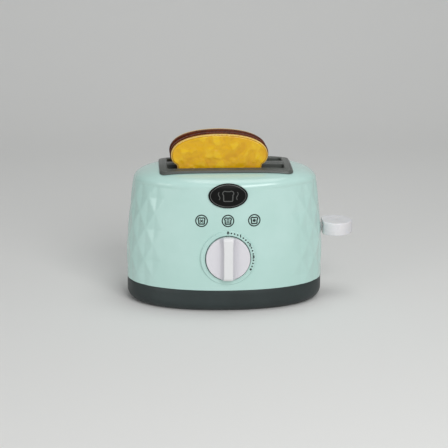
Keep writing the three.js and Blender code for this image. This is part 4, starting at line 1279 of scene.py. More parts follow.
@dataclass
class Bezel:
    """The dark bezel: an arched frame with a rounded raised rim, and the rail between the slots."""

    form: BodyForm = FORM
    half: Pair = (61.3, 29.4)
    corner: float = 6.0
    inner_half: Pair = (53.5, 20.0)
    inner_corner: float = 3.0
    rise: float = 2.4
    lift: float = 0.55
    outer_round: float = 1.7
    inner_round: float = 1.3
    dish: float = 0.45
    dish_edge: float = 0.7
    dish_run: float = 0.5
    neck_wall: float = 2.6
    neck_bottom: float = 119.0
    rail_half: float = 5.0
    rail_overlap: float = 0.4
    rail_rows: int = 60
    arc_steps: int = 10
    side_steps: tuple[int, int] = (36, 14)
    sharp_degrees: float = 40.0

    def outline(self, share: float) -> list[Pair]:
        """Draw a loop between the frame's outer and inner edges.

        Args:
            share: How far it has gone from the outer edge to the inner one.

        Returns:
            The points, as many for every share.
        """
        half_x, half_y = (between(a, b, share) for a, b in zip(self.half, self.inner_half))
        radius = between(self.corner, self.inner_corner, share)
        signs = ((1, 1), (-1, 1), (-1, -1), (1, -1))
        centres = [(x * (half_x - radius), y * (half_y - radius)) for x, y in signs]
        points: list[Pair] = []
        for quarter, centre in enumerate(centres):
            for step in range(self.arc_steps + 1):
                points.append(on_circle(radius, QUARTER_TURN * (quarter + step / self.arc_steps), centre))
            start, steps = points[-1], self.side_steps[quarter % 2]
            end = on_circle(radius, QUARTER_TURN * (quarter + 1), centres[(quarter + 1) % 4])
            for step in range(1, steps):
                points.append((between(start[0], end[0], step / steps), between(start[1], end[1], step / steps)))
        return points

    def profile(self) -> list[tuple[float, float, bool]]:
        """Draw the frame's section.

        Returns:
            Its points: share across, height, and whether the height is above the crown.
        """
        width = self.half[0] - self.inner_half[0]
        outer, inner, top = self.outer_round, self.inner_round, self.rise
        start, end = outer + self.dish_edge, width - inner - self.dish_edge
        runs = [(0.0, self.lift), (0.0, top - outer)]
        runs += [(run, top - outer + up) for run, up in corner_arc(outer, 6)[1:]]
        runs += [(start, top - self.dish * 0.7), (start + self.dish_run, top - self.dish)]
        runs += [(end - self.dish_run, top - self.dish), (end, top - self.dish * 0.7)]
        runs += [(width - run, top - inner + up) for run, up in reversed(corner_arc(inner, 5))]
        neck = 1 - self.neck_wall / width
        section = [(run / width, height, True) for run, height in runs]
        return [*section, (1.0, self.neck_bottom, False), (neck, self.neck_bottom, False), (neck, self.lift, True)]

    def frame_piece(self) -> Object:
        """Build the frame round both slots.

        Returns:
            The frame.
        """
        section = self.profile()
        loops = [self.outline(share) for share, _, _ in section]

        def place(column: int, row: int) -> Vector:
            """Return a point of the frame."""
            x, y = loops[row % len(section)][column]
            _, height, above = section[row % len(section)]
            return Vector((x, y, self.form.crown_height_at(x, y) + height if above else height))

        return object_from("bezel_frame", woven(len(loops[0]), len(section), place), self.sharp_degrees)

    def rail_piece(self) -> Object:
        """Build the rail between the slots.

        Returns:
            The rail.
        """
        half, low, arc = self.rail_half, self.rise - self.inner_round, corner_arc(self.inner_round, 5)
        section = [(-half, 0.0, False), *((-half + run, low + up, True) for run, up in arc)]
        section += [*((half - run, low + up, True) for run, up in reversed(arc)), (half, 0.0, False)]
        reach = self.inner_half[0] + self.rail_overlap

        def place(column: int, row: int) -> Vector:
            """Return a point of the rail."""
            y, height, above = section[column]
            x = reach * (2 * row / self.rail_rows - 1)
            return Vector((x, y, self.form.crown_height_at(x, y) + height if above else self.neck_bottom))

        return object_from("slot_rail", capped(woven(len(section), self.rail_rows, place)), self.sharp_degrees)

    def build(self) -> list[Object]:
        """Make and dress the bezel's pieces.

        Returns:
            The pieces.
        """
        pieces = [dress(made, Finish.BEZEL_GREY, "body") for made in (self.frame_piece(), self.rail_piece())]
        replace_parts(pieces[0], "top_bezel")
        return pieces


class Sign(Enum):
    """What a round icon shows on its slice of bread."""

    CROSS = 1
    BARS = 2
    DOT = 3


@dataclass
class Prints:
    """Thin marks on the front, laid on the casing's surface or on the boss."""

    form: BodyForm = FORM
    thickness: float = 0.06
    sunk: float = 0.05
    icon_ring: float = 5.2
    icon_height: float = 85.5
    icon_places: tuple[float, float, float] = (-24.0, -0.1, 23.9)
    icon_bread: float = 3.15
    ring_line: float = 1.1
    bread_line: float = 1.2
    sign_drop: float = 0.2
    cross_half: float = 1.3
    cross_line: float = 0.95
    bar_half: float = 1.4
    bar_pitch: float = 1.25
    bar_line: float = 0.75
    sign_dot: float = 1.45
    scale_radius: float = 23.3
    scale_major: tuple[float, ...] = (0.0, 29.25, 58.5, 87.75, 117.0)
    tick_radius: float = 0.75
    last_radius: float = 1.0
    numeral_size: float = 3.78
    numeral_weight: float = 0.27
    boss_top: float = 0.8

    def on_front(self, x: float, up: float, lift: float) -> Vector:
        """Put a flat point on the front, lifted off it."""
        point, outward = self.form.front(x, up)
        return point + outward * lift

    def on_boss(self, x: float, up: float, lift: float) -> Vector:
        """Put a flat point on the boss, lifted off it."""
        return self.form.dial_frame() @ Vector((x, up, self.boss_top + lift))

    def line(self, points: Sequence[Pair], width: float, lay: Lay, closed: bool = True) -> BMesh:
        """Build a printed line of even width along points.

        Args:
            points: The line's middle.
            width: Its width.
            lay: Puts a flat point on the surface.
            closed: Whether it runs round.

        Returns:
            The bmesh of the line.
        """
        count = len(points)
        section = [(-0.5, 0.0), (-0.5, 1.0), (0.5, 1.0), (0.5, 0.0)]

        def place(column: int, row: int) -> Vector:
            """Work out a point of the line.

            Args:
                column: Its corner of the section.
                row: Its step along the line.

            Returns:
                The point.
            """
            index = row % count
            before = points[(index - 1) % count] if closed or index else points[0]
            after = points[(index + 1) % count] if closed or index < count - 1 else points[-1]
            along = Vector((after[0] - before[0], after[1] - before[1])).normalized()
            side, lift = section[column]
            x = points[index][0] - along.y * side * width
            y = points[index][1] + along.x * side * width
            return lay(x, y, -self.sunk + lift * (self.thickness + self.sunk))

        mesh = woven(len(section), count if closed else count - 1, place)
        if closed:
            bmesh.ops.remove_doubles(mesh, verts=mesh.verts, dist=1e-4)
        return mesh if closed else capped(mesh)

    def dot(self, middle: Pair, radius: float, lay: Lay) -> BMesh:
        """Build a printed dot.

        Args:
            middle: Its flat place.
            radius: Its radius.
            lay: Puts a flat point on the surface.

        Returns:
            The bmesh of the dot.
        """
        rows = [(radius, -self.sunk), (radius, self.thickness), (radius * 0.5, self.thickness)]
        turns = turns_round(20)

        def place(column: int, row: int) -> Vector:
            """Return a point of the dot."""
            return lay(*on_circle(rows[row][0], turns[column], middle), rows[row][1])

        return capped(woven(len(turns), len(rows) - 1, place))

    def bread(self, middle: Pair, size: float) -> list[Pair]:
        """Draw a slice of bread: a square foot under two round shoulders.

        Args:
            middle: Its middle.
            size: Its half width.

        Returns:
            The outline's points.
        """
        foot, shoulder = (0.62, -0.78, 0.16), (0.54, 0.46, 0.42)
        points: list[Pair] = []
        for side, (x, y, radius), start, end, steps in (
            (1, foot, -90, 0, 4),
            (1, shoulder, -50, 125, 9),
            (-1, shoulder, 55, 230, 9),
            (-1, foot, 180, 270, 4),
        ):
            for step in range(steps + 1):
                across, up = on_circle(radius, math.radians(start + (end - start) * step / steps), (side * x, y))
                points.append((middle[0] + size * across, middle[1] + size * up))
        return points

    def gather(self, name: str, parts: Sequence[BMesh]) -> Object:
        """Join printed parts into one object.

        Args:
            name: The object's name.
            parts: Their meshes, which are freed.

        Returns:
            The object.
        """
        whole = bmesh.new()
        for part in parts:
            bmesh.ops.recalc_face_normals(part, faces=part.faces)
            data = bpy.data.meshes.new("part")
            part.to_mesh(data)
            part.free()
            whole.from_mesh(data)
            bpy.data.meshes.remove(data)
        return object_from(name, whole)

    def sign(self, sign: Sign, x: float, y: float) -> list[BMesh]:
        """Build an icon's sign.

        Args:
            sign: Which sign.
            x: Its middle sideways.
            y: Its middle's height.

        Returns:
            The parts of the sign.
        """
        if sign is Sign.DOT:
            return [self.dot((x, y), self.sign_dot, self.on_front)]
        if sign is Sign.CROSS:
            half, width = self.cross_half, self.cross_line
            strokes = [(-half * way, 0.0, half * way) for way in (-1, 1)]
        else:
            half, width = self.bar_half, self.bar_line
            strokes = [(step * self.bar_pitch,) * 3 for step in (-1, 0, 1)]
        lines = [[(x + side * half, y + rise) for side, rise in zip((-1, 0, 1), rises)] for rises in strokes]
        return [self.line(line, width, self.on_front, closed=False) for line in lines]

    def icon(self, sign: Sign, x: float) -> Object:
        """Build a round icon: a ring, a slice of bread and its sign.

        Args:
            sign: Its sign.
            x: Its place sideways.

        Returns:
            The icon.
        """
        middle = (x, self.icon_height)
        ring = [on_circle(self.icon_ring, turn, middle) for turn in turns_round(64)]
        parts = [
            self.line(ring, self.ring_line, self.on_front),
            self.line(self.bread(middle, self.icon_bread), self.bread_line, self.on_front),
        ]
        return self.gather(f"icon_print_{sign.value}", parts + self.sign(sign, x, self.icon_height - self.sign_drop))

    def on_scale(self, degrees: float) -> Pair:
        """Return the flat place of a turn on the dial's scale."""
        turn = math.radians(degrees)
        return self.scale_radius * math.sin(turn), self.scale_radius * math.cos(turn)

    def numeral(self, text: str, degrees: float) -> Object:
        """Build one numeral of the scale, upright.

        Args:
            text: The numeral.
            degrees: Its turn on the scale.

        Returns:
            The numeral.
        """
        curve = bpy.data.curves.new("numeral", "FONT")
        curve.body, curve.size, curve.offset = text, self.numeral_size, self.numeral_weight
        curve.align_x, curve.align_y = "CENTER", "CENTER"
        curve.extrude = (self.thickness + self.sunk) / 2
        curve.resolution_u = 4
        shown = add_object("numeral", curve)
        graph = bpy.context.evaluated_depsgraph_get()
        mesh = bmesh.new()
        mesh.from_mesh(bpy.data.meshes.new_from_object(shown.evaluated_get(graph)))
        bpy.data.objects.remove(shown)
        bmesh.ops.remove_doubles(mesh, verts=mesh.verts, dist=1e-4)
        x, y = self.on_scale(degrees)
        for vert in mesh.verts:
            lift = vert.co.z + (self.thickness - self.sunk) / 2
            vert.co = self.on_boss(x + vert.co.x, y + vert.co.y, lift)
        return object_from(f"scale_numeral_{text}", mesh)

    def ticks(self) -> Object:
        """Build the small dots between the numerals and the larger one at the end.

        Returns:
            The dots as one object.
        """
        places = [(self.scale_major[-1], self.last_radius)]
        for low, high in zip(self.scale_major, self.scale_major[1:]):
            places += [(between(low, high, step / 4), self.tick_radius) for step in (1, 2, 3)]
        return self.gather("scale_ticks", [self.dot(self.on_scale(at), size, self.on_boss) for at, size in places])

    def build(self) -> list[Object]:
        """Make and dress every print.

        Returns:
            The prints.
        """
        pieces = [self.icon(sign, x) for sign, x in zip(Sign, self.icon_places)] + [self.ticks()]
        pieces += [self.numeral(str(index), degrees) for index, degrees in enumerate(self.scale_major[:-1])]
        return [dress(piece, Finish.INK, "body") for piece in pieces]


@dataclass
class Badge:
    """The oval badge, with a thin grey ring and a steaming slice of bread."""

    form: BodyForm = FORM
    half: Pair = (17.8, 11.4)
    height: float = 108.6
    lift: float = 0.25
    thickness: float = 1.25
    edge: float = 0.55
    sides: int = 96
    ring_share: Pair = (0.9, 0.87)
    ring_width: float = 0.55
    bread_size: float = 5.2
    bread_line: float = 0.9
    steam_at: float = 8.2
    steam_top: float = 3.6
    steam_line: float = 0.7
    settle: float = 0.0075

    def lay(self, x: float, up: float, lift: float) -> Vector:
        """Put a flat point on the badge's face, lifted off it, lower where the crown leans away."""
        point, outward = self.form.front(x, self.height + up - self.settle * max(0.0, up) ** 2)
        return point + outward * (self.lift + self.thickness + lift)

    def oval(self, share_x: float, share_y: float) -> list[Pair]:
        """Return the points of an oval inside the badge's outline."""
        wide, high = self.half[0] * share_x, self.half[1] * share_y
        return [(wide * math.cos(turn), high * math.sin(turn)) for turn in turns_round(self.sides)]

    def plate(self) -> Object:
        """Build the oval plate on the casing's surface.

        Returns:
            The plate.
        """
        low = self.thickness - self.edge
        rows: list[Pair] = [(0.02, 0.0), (0.5, 0.0), (1.0, 0.0), (1.0, low)]
        rows += [(1 - inset / self.half[1], low + rise) for inset, rise in corner_arc(self.edge, 4)[1:]]
        rows += [(share, self.thickness) for share in (0.85, 0.65, 0.45, 0.25, 0.08)]
        loops = [self.oval(share, share) for share, _ in rows]

        def place(column: int, row: int) -> Vector:
            """Return a point of the plate."""
            return self.lay(*loops[row][column], rows[row][1] - self.thickness)

        return object_from("badge_plate", capped(woven(self.sides, len(rows) - 1, place)))

    def build(self) -> list[Object]:
        """Make and dress the badge's pieces.

        Returns:
            The pieces.
        """
        plate = dress(self.plate(), Finish.BADGE_BLACK, "body")
        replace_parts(plate, "badge")
        prints = Prints(thickness=0.05)
        parts = [
            prints.line(self.oval(*self.ring_share), self.ring_width, self.lay),
            prints.line(prints.bread((0.0, 0.0), self.bread_size), self.bread_line, self.lay),
        ]
        for side in (-1, 1):
            swing = [self.steam_at + 0.7 * math.sin(step * math.pi / 6) for step in range(13)]
            wave = [(side * across, self.steam_top - step * 0.6) for step, across in enumerate(swing)]
            parts.append(prints.line(wave, self.steam_line, self.lay, closed=False))
        return [plate, dress(prints.gather("badge_marks", parts), Finish.BADGE_GREY, "body")]


@dataclass
class TimerKnob:
    """The white dial knob: a low drum whose grip bar rises between two hollowed flanks."""

    form: BodyForm = FORM
    radius: float = 20.2
    back: float = 1.3
    rim: float = 4.2
    grip: float = 9.1
    ridge: float = 3.9
    flare: float = 0.9
    flare_length: float = 11.0
    end_length: float = 3.5
    end_power: float = 2.4
    scoop: float = 3.6
    scoop_power: float = 1.3
    cove: float = 4.2
    bar_round: Pair = (0.6, 0.25)
    edge: float = 0.9
    rows: int = 56
    line_spans: tuple[tuple[float, float, int], ...] = (
        (0.0, 3.0, 3),
        (3.0, 6.2, 14),
        (6.2, 9.0, 7),
        (9.0, 18.0, 10),
        (18.0, 19.4, 5),
        (19.4, 20.2, 7),
    )
    bore: Pair = (3.3, 8.0)
    bore_middle: float = 3.1
    sharp_degrees: float = 50.0

    def height(self, x: float, y: float) -> float:
        """Work out the top's height over a point of the knob.

        Args:
            x: The place across the grip bar.
            y: The place along it.

        Returns:
            The height.
        """
        end = max(0.0, (y - self.radius + self.flare_length) / self.flare_length)
        half = self.ridge + self.flare * end
        across = abs(x) - half
        fall = max(0.0, (abs(y) - self.radius + self.end_length) / self.end_length) ** self.end_power
        top = self.grip - (self.grip - self.rim) * 0.5 * fall
        if across > 0:
            hollow = min(1.0, across / (self.radius - half)) ** self.scoop_power
            floor = self.scoop + (self.rim - self.scoop) * hollow
            rise = floor + (top - floor) * max(0.0, 1 - across / self.cove) ** 2.0
        else:
            rise = top - self.bar_round[1] * max(0.0, 1 + across / self.bar_round[0]) ** 2
        inset = self.radius - math.hypot(x, y)
        if inset < self.edge:
            rise -= self.edge - math.sqrt(max(0.0, self.edge**2 - (self.edge - inset) ** 2))
        return rise

    def lines(self) -> list[float]:
        """Place the grid's lines sideways, close together at the bar's edges and the rim.

        Returns:
            The places from side to side.
        """
        places: list[float] = []
        for low, high, steps in self.line_spans:
            places += [low + (high - low) * step / steps for step in range(steps)]
        places.append(self.radius - 0.01)
        return [-value for value in reversed(places[1:])] + places

    def build(self) -> list[Object]:
        """Make and dress the knob.

        Returns:
            The knob alone.
        """
        across, frame_of = self.lines(), self.form.dial_frame()

        def place(column: int, row: int) -> Vector:
            """Work out a point of the knob's top, with rows closer together at the bar's ends.

            Args:
                column: Its line sideways.
                row: Its step along the bar.

            Returns:
                The point.
            """
            x = across[column]
            along = math.sin((2 * row / self.rows - 1) * math.pi / 2)
            y = along * math.sqrt(max(0.0, self.radius**2 - x**2))
            return Vector((x, y, self.height(x, y)))

        mesh = woven(len(across) - 1, self.rows, place, around=False)
        rim_edges = [edge for edge in mesh.edges if len(edge.link_faces) == 1]
        for item in bmesh.ops.extrude_edge_only(mesh, edges=rim_edges)["geom"]:
            if isinstance(item, BMVert):
                item.co.z = self.back
        capped(mesh)
        bmesh.ops.transform(mesh, matrix=frame_of, verts=mesh.verts)
        knob = object_from("dial_knob", mesh, self.sharp_degrees)
        middle = frame_of @ Matrix.Translation((0, 0, self.bore_middle))
        cut_with(knob, drum(self.bore[0], middle, self.bore[1]), self.sharp_degrees)
        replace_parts(dress(knob, Finish.GRIP_WHITE, "dial"), "timer_knob")
        return [knob]


@dataclass
class LeverPaddle:
    """The white paddle on the lever: a lens in plan with rounded edges and a shallow dish on top."""

    inner: float = 92.3
    outer: float = 121.0
    half_width: float = 16.6
    height: float = 66.2
    thickness: float = 12.0
    edge: float = 0.9
    dish: float = 0.4
    root_share: float = 0.45
    middle_share: float = 0.48
    side_steps: int = 40
    flat_insets: tuple[float, ...] = (4.0, 8.0, 12.0)
    dish_insets: Pair = (3.0, 4.2)
    socket_low: tuple[float, float, float] = (80.0, -3.3, -2.8)
    socket_high: tuple[float, float, float] = (101.6, 3.3, 2.8)
    sharp_degrees: float = 45.0

    def outline(self) -> list[tuple[Vector, Vector]]:
        """Trace the plan drawn in by the edge's radius: a lens that ends bluntly at the casing.

        Returns:
            Its points, each with its outward direction.
        """
        length, half = self.outer - self.inner, self.half_width - self.edge
        root, tip = (-self.edge, -half * self.root_share), (length - self.edge, 0.0)
        controls = [Vector(at) for at in (root, (length * 0.3, -half * 1.25), (length * 0.85, -half * 1.15), tip)]
        made: list[tuple[Vector, Vector]] = []
        for step in range(self.side_steps + 1):
            point, along = bezier(controls, step / self.side_steps)
            made.append((point, Vector((along.y, -along.x))))
        made += [(Vector((p.x, -p.y)), Vector((n.x, -n.y))) for p, n in reversed(made[:-1])]
        (upper, upward), (lower, downward), inward = made[-1], made[0], Vector((-1.0, 0.0))
        made += [(upper, upward.lerp(inward, step / 5).normalized()) for step in range(1, 6)]
        made += [(upper.lerp(lower, step / 10), inward) for step in range(1, 11)]
        made += [(lower, inward.lerp(downward, step / 5).normalized()) for step in range(1, 5)]
        return made

    def section(self) -> list[Pair]:
        """Draw the paddle's section from the middle of its underside to the middle of its top.

        Returns:
            Its points, as insets and heights.
        """
        low, high = self.height - self.thickness / 2, self.height + self.thickness / 2
        arc, floor = corner_arc(self.edge, 5), high - self.dish
        rows = [(inset, low) for inset in reversed(self.flat_insets)]
        rows += [(inset, low + self.edge - rise) for inset, rise in reversed(arc)]
        rows += [(inset, high - self.edge + rise) for inset, rise in arc]
        rows += [(self.dish_insets[0], high - self.dish * 0.5), (self.dish_insets[1], floor)]
        return rows + [(inset, floor) for inset in self.flat_insets[1:]]

    def build(self) -> list[Object]:
        """Make and dress the paddle.

        Returns:
            The paddle alone.
        """
        plan, rows = self.outline(), self.section()
        middle = Vector(((self.outer - self.inner) * self.middle_share, 0))
        deepest = self.flat_insets[-1] - 1.0

        def place(column: int, row: int) -> Vector:
            """Work out a point of the paddle.

            Args:
                column: Its place round the plan.
                row: Its place on the section.

            Returns:
                The point.
            """
            (point, outward), (inset, z) = plan[column], rows[row]
            point = point + outward * max(0.0, self.edge - inset)
            if inset > self.edge:
                point = point.lerp(middle, (inset - self.edge) / deepest)
            return Vector((self.inner + max(0.0, point.x), point.y, z))

        mesh = capped(woven(len(plan), len(rows) - 1, place))
        paddle = object_from("lever_paddle", mesh, self.sharp_degrees)
        rise = Vector((0, 0, self.height))
        cut_with(paddle, block(Vector(self.socket_low) + rise, Vector(self.socket_high) + rise), self.sharp_degrees)
        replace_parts(dress(paddle, Finish.WHITE, "carriage"), "lever_knob")
        return [paddle]


class Side(Enum):
    """Which slot a slice stands in, or which rod a spring is on."""

    FRONT = "front"
    REAR = "rear"


@dataclass
class ToastSlice:
    """A slice of play toast: a pale slab, its rim pale partly in its own colour and partly as a painted highlight, with
    a lumpy yellow spread, and a brown crust behind.
    """

    side: Side
    width: float = 90.8
    neck_width: float = 79.3
    foot_width: float = 74.0
    height: float = 88.3
    shoulder: float = 68.0
    neck: float = 58.5
    waist_share: float = 0.3
    corner: float = 8.0
    crown_share: float = 0.62
    outline_steps: int = 184
    curve_steps: int = 40
    middle_height: float = 44.0
    even_inset: float = 6.0
    crumb: float = 4.8
    crumb_inset: float = 1.0
    crumb_back_round: float = 0.8
    crumb_front_round: float = 0.6
    recess: float = 4.0
    spread_bottom: float = 4.3
    spread_top: float = 5.9
    spread_inset: float = 2.0
    spread_round: float = 0.9
    spread_rows: int = 34
    crust: float = 5.2
    crust_round: float = 1.6
    crust_front_round: float = 1.2
    crust_rows: int = 26
    gap: float = 0.3
    shift: float = -6.1
    slot: float = 12.5
    stand: float = 71.0
    lean: float = 1.8
    lean_share: float = 0.43
    sharp_degrees: float = 50.0
    outline: list[Vector] = field(default_factory=list)

    def trace(self) -> None:
        """Work out the outline, evenly spaced, from the middle of the foot anticlockwise."""
        foot, neck, half = self.foot_width / 2, self.neck_width / 2, self.width / 2
        corner, shoulder, top = self.corner, self.shoulder, self.height
        waist = self.neck + self.waist_share * (shoulder - self.neck)
        pull, lift = half * self.crown_share, shoulder + (top - shoulder) * self.crown_share
        right: list[Vector] = []
        for controls in (
            ((0, 0), (foot - corner, 0)),
            ((foot - corner, 0), (foot, 0), (foot, corner)),
            ((foot, corner), (neck, self.neck)),
            ((neck, self.neck), (half, waist), (half, shoulder)),
            ((half, shoulder), (half, lift), (pull, top), (0, top)),
        ):
            points = [Vector(control) for control in controls]
            right += [bezier(points, step / self.curve_steps)[0] for step in range(self.curve_steps)]
        left = [Vector((-point.x, point.y)) for point in reversed(right[1:])]
        dense = [*right, Vector((0, top)), *left, right[0]]
        run = run_along(dense)
        wanted = [run[-1] * step / self.outline_steps for step in range(self.outline_steps)]
        self.outline = [dense[place].lerp(dense[place + 1], share) for place, share in find_lengths(run, wanted)]

    def inset_point(self, column: int, inset: float) -> Vector:
        """Draw a point of the outline in, evenly at first and then towards the slice's middle.

        Args:
            column: The point's place on the outline.
            inset: How far it is drawn in.

        Returns:
            The flat point.
        """
        count, near = len(self.outline), min(inset, self.even_inset)
        along = (self.outline[(column + 2) % count] - self.outline[(column - 2) % count]).normalized()
        point = self.outline[column] + Vector((-along.y, along.x)) * near
        if inset > near:
            point = point.lerp(Vector((0, self.middle_height)), min(0.97, (inset - near) / 32.0))
        return point

    def into_slot(self, point: Vector) -> Vector:
        """Put a point of the slice where it stands: upright in front, leaning and turned round behind.

        Args:
            point: The place across, up and through the thickness.

        Returns:
            The point in the toaster.
        """
        if self.side is Side.FRONT:
            return Vector((self.shift + point.x, -self.slot - point.z, self.stand + point.y))
        lean = math.radians(self.lean)
        placed = Matrix.Rotation(lean, 4, "X") @ Vector((-point.x, point.z, point.y))
        swing = self.height * math.sin(lean) * self.lean_share
        lift = (self.crumb + self.gap + self.crust) * math.sin(lean)
        return placed + Vector((self.shift, self.slot + swing, self.stand + lift))

    def slab(self, name: str, rows: Sequence[Pair], relief: Relief | None = None) -> Object:
        """Build a slab from rows of insets and places through the thickness.

        Args:
            name: The object's name.
            rows: The insets and places.
            relief: Gives how far a point moves, from its row, its flat place and its inset.

        Returns:
            The object.
        """

        def place(column: int, row: int) -> Vector:
            """Work out a point of the slab.

            Args:
                column: Its place on the outline.
                row: Its row.

            Returns:
                The point.
            """
            inset, depth = rows[row]
            flat = self.inset_point(column, inset)
            depth += relief(row, flat, inset) if relief else 0.0
            return self.into_slot(Vector((flat.x, flat.y, depth)))

        return object_from(name, capped(woven(len(self.outline), len(rows) - 1, place)), self.sharp_degrees)

    def lumps(self, flat: Vector, inset: float) -> float:
        """Work out how far the spread's face sinks between its swirls and lumps.

        Args:
            flat: The flat place.
            inset: How far it is from the outline.

        Returns:
            The depth as a negative number.
        """
        seed = 0.0 if self.side is Side.FRONT else 40.0
        where = Vector((flat.x + seed, flat.y, 0.0))
        bend = noise.noise_vector(where * 0.05) * 9.0
        broad = noise.noise((where + bend) * 0.09)
        fold = math.exp(-((noise.noise((where + bend) * 0.12 + Vector((7, 3, 1))) * 5) ** 2))
        fine = noise.noise(where * 0.3 + Vector((2, 9, 4)))
        depth = 0.55 - 0.3 * broad - 0.45 * fold - 0.1 * fine
        edge = max(0.0, min(1.0, (inset - self.spread_inset - 0.4) / 3.0))
        return -max(0.0, min(0.95, depth)) * edge

    def face_rows(self, start: float, depth: float, steps: int) -> list[Pair]:
        """Return rows across a flat face, from an inset to the middle."""
        return [(start + (37.0 - start) * step / steps, depth) for step in range(1, steps + 1)]

    def crumb_piece(self) -> Object:
        """Build the pale slab with the recess that the spread fills; its paleness is partly a painted highlight on the
        rounded rim.

        Returns:
            The slab.
        """
        drawn, back, front = self.crumb_inset, self.crumb_back_round, self.crumb_front_round
        rows = self.face_rows(drawn + back, 0.0, 6)[::-1]
        rows += [(drawn + inset, back - rise) for inset, rise in reversed(corner_arc(back, 5))]
        rows += [(drawn + inset, self.crumb - front + rise) for inset, rise in corner_arc(front, 6)]
        rows += [(self.spread_inset - self.gap, depth) for depth in (self.crumb, self.recess)]
        return self.slab(f"{self.side.value}_toast_rim", rows + self.face_rows(self.spread_inset, self.recess, 5))

    def spread_piece(self) -> Object:
        """Build the yellow spread with its lumpy face.

        Returns:
            The spread.
        """
        start, low, high, edge = self.spread_inset, self.spread_bottom, self.spread_top, self.spread_round
        rows = [*self.face_rows(start, low, 4)[::-1], (start, low)]
        rows += [(start + inset, high - edge + rise) for inset, rise in corner_arc(edge, 5)]
        first = len(rows)
        rows += self.face_rows(start + edge, high, self.spread_rows)

        def relief(row: int, flat: Vector, inset: float) -> float:
            """Return how far a point of the face sinks."""
            return self.lumps(flat, inset) if row >= first else 0.0

        return self.slab(f"{self.side.value}_toast_butter", rows, relief)

    def crust_piece(self) -> Object:
        """Build the brown slab, rough on its outer face.

        Returns:
            The slab.
        """
        back, front, edge = -self.gap - self.crust, -self.gap, self.crust_round
        arc, near = corner_arc(edge, 6), self.crust_front_round
        rows = self.face_rows(edge, back, self.crust_rows)[::-1]
        rows += [(inset, back + edge - rise) for inset, rise in reversed(arc)]
        rows += [(inset, front - near + rise * near / edge) for inset, rise in arc]
        rows += self.face_rows(edge, front, 5)

        def relief(row: int, flat: Vector, inset: float) -> float:
            """Return how far a point of the outer face sinks."""
            rough = noise.noise(Vector((flat.x, flat.y, 30.0)) * 0.22)
            return 0.25 * max(0.0, rough) * min(1.0, (inset - edge) / 3.0) if row < self.crust_rows else 0.0

        return self.slab(f"{self.side.value}_toast_brown", rows, relief)

    def build(self) -> list[Object]:
        """Make and dress the slice's three pieces.

        Returns:
            The pieces.
        """
        self.trace()
        name, body = self.side.value, f"{self.side.value}_slice"
        crumb = dress(self.crumb_piece(), Finish.RIM, body)
        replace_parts(crumb, f"{name}_toast_crumb")
        spread = dress(self.spread_piece(), Finish.SPREAD, body)
        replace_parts(spread, f"{name}_toast_spread")
        crust = dress(self.crust_piece(), Finish.CRUST, body)
        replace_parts(crust, f"{name}_toast_crust")
        return [crumb, spread, crust]


@dataclass
class LiftSpring:
    """A spring round a guide rod, built at one fixed length."""

    rod: Side
    at: Pair
    radius: float = 3.0
    wire: float = 1.0
    curls: int = 8
    bottom: float = 8.3
    top: float = 61.2
    travel: float = 38.0
    sides: int = 12
    curl_steps: int = 28

    def build(self) -> list[Object]:
        """Make and dress the spring.

        Returns:
            The spring alone.
        """
        steps = self.curls * self.curl_steps
        climb = self.top - self.bottom - self.wire

        def place(column: int, row: int) -> Vector:
            """Work out a point of the wire.

            Args:
                column: Its place round the wire.
                row: Its step along the wire.

            Returns:
                The point.
            """
            bend = FULL_TURN * column / self.sides
            reach = self.radius + self.wire / 2 * math.cos(bend)
            lift = self.bottom + self.wire / 2 * (1 + math.sin(bend)) + climb * row / steps
            return Vector((*on_circle(reach, FULL_TURN * row / self.curl_steps, self.at), lift))

        coil = object_from(f"lift_coil_{self.rod.value}", capped(woven(self.sides, steps, place)))
        dress(coil, Finish.STEEL, "body")
        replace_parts(coil, f"lift_spring_{self.rod.value}")
        foot = Vector((*self.at, self.bottom)) * MM
        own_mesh(coil)
        return [coil]


@dataclass
class InnerWorks:
    """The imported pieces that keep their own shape: wells, carriage, timer and screws."""

    finishes: dict[Finish, tuple[str, ...]] = field(
        default_factory=lambda: {
            Finish.INNER: ("front_bread_well", "rear_bread_well", "timer_case", "timer_cover"),
            Finish.WHITE: ("bread_carriage",),
            Finish.GEAR: ("main_gear", "compound_gear", "release_cam"),
            Finish.BRASS: ("escape_wheel", "pallet"),
        }
    )

    def build(self) -> list[Object]:
        """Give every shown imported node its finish, steel where no other is named.

        Returns:
            The shown nodes.
        """
        finish_of = {name: finish for finish, names in self.finishes.items() for name in names}
        shown = {name: node for name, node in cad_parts.items() if not node.hide_render}
        for name, node in shown.items():
            node.data.materials.clear()
            node.data.materials.append(finish_of.get(name, Finish.STEEL).material())
        return list(shown.values())


@dataclass(frozen=True)
class SoftLamp:
    """A square soft light: its place, side in metres, power in watts and what it faces."""

    name: str
    at: tuple[float, float, float]
    size: float
    power: float
    aim: tuple[float, float, float]

    def build(self) -> None:
        """Add the light to the scene."""
        data = bpy.data.lights.new(self.name, "AREA")
        data.shape, data.size, data.energy = "SQUARE", self.size, self.power
        made = add_object(self.name, data)
        made.location = self.at
        made.rotation_mode = "QUATERNION"
        made.rotation_quaternion = (Vector(self.aim) - Vector(self.at)).to_track_quat("-Z", "Y")


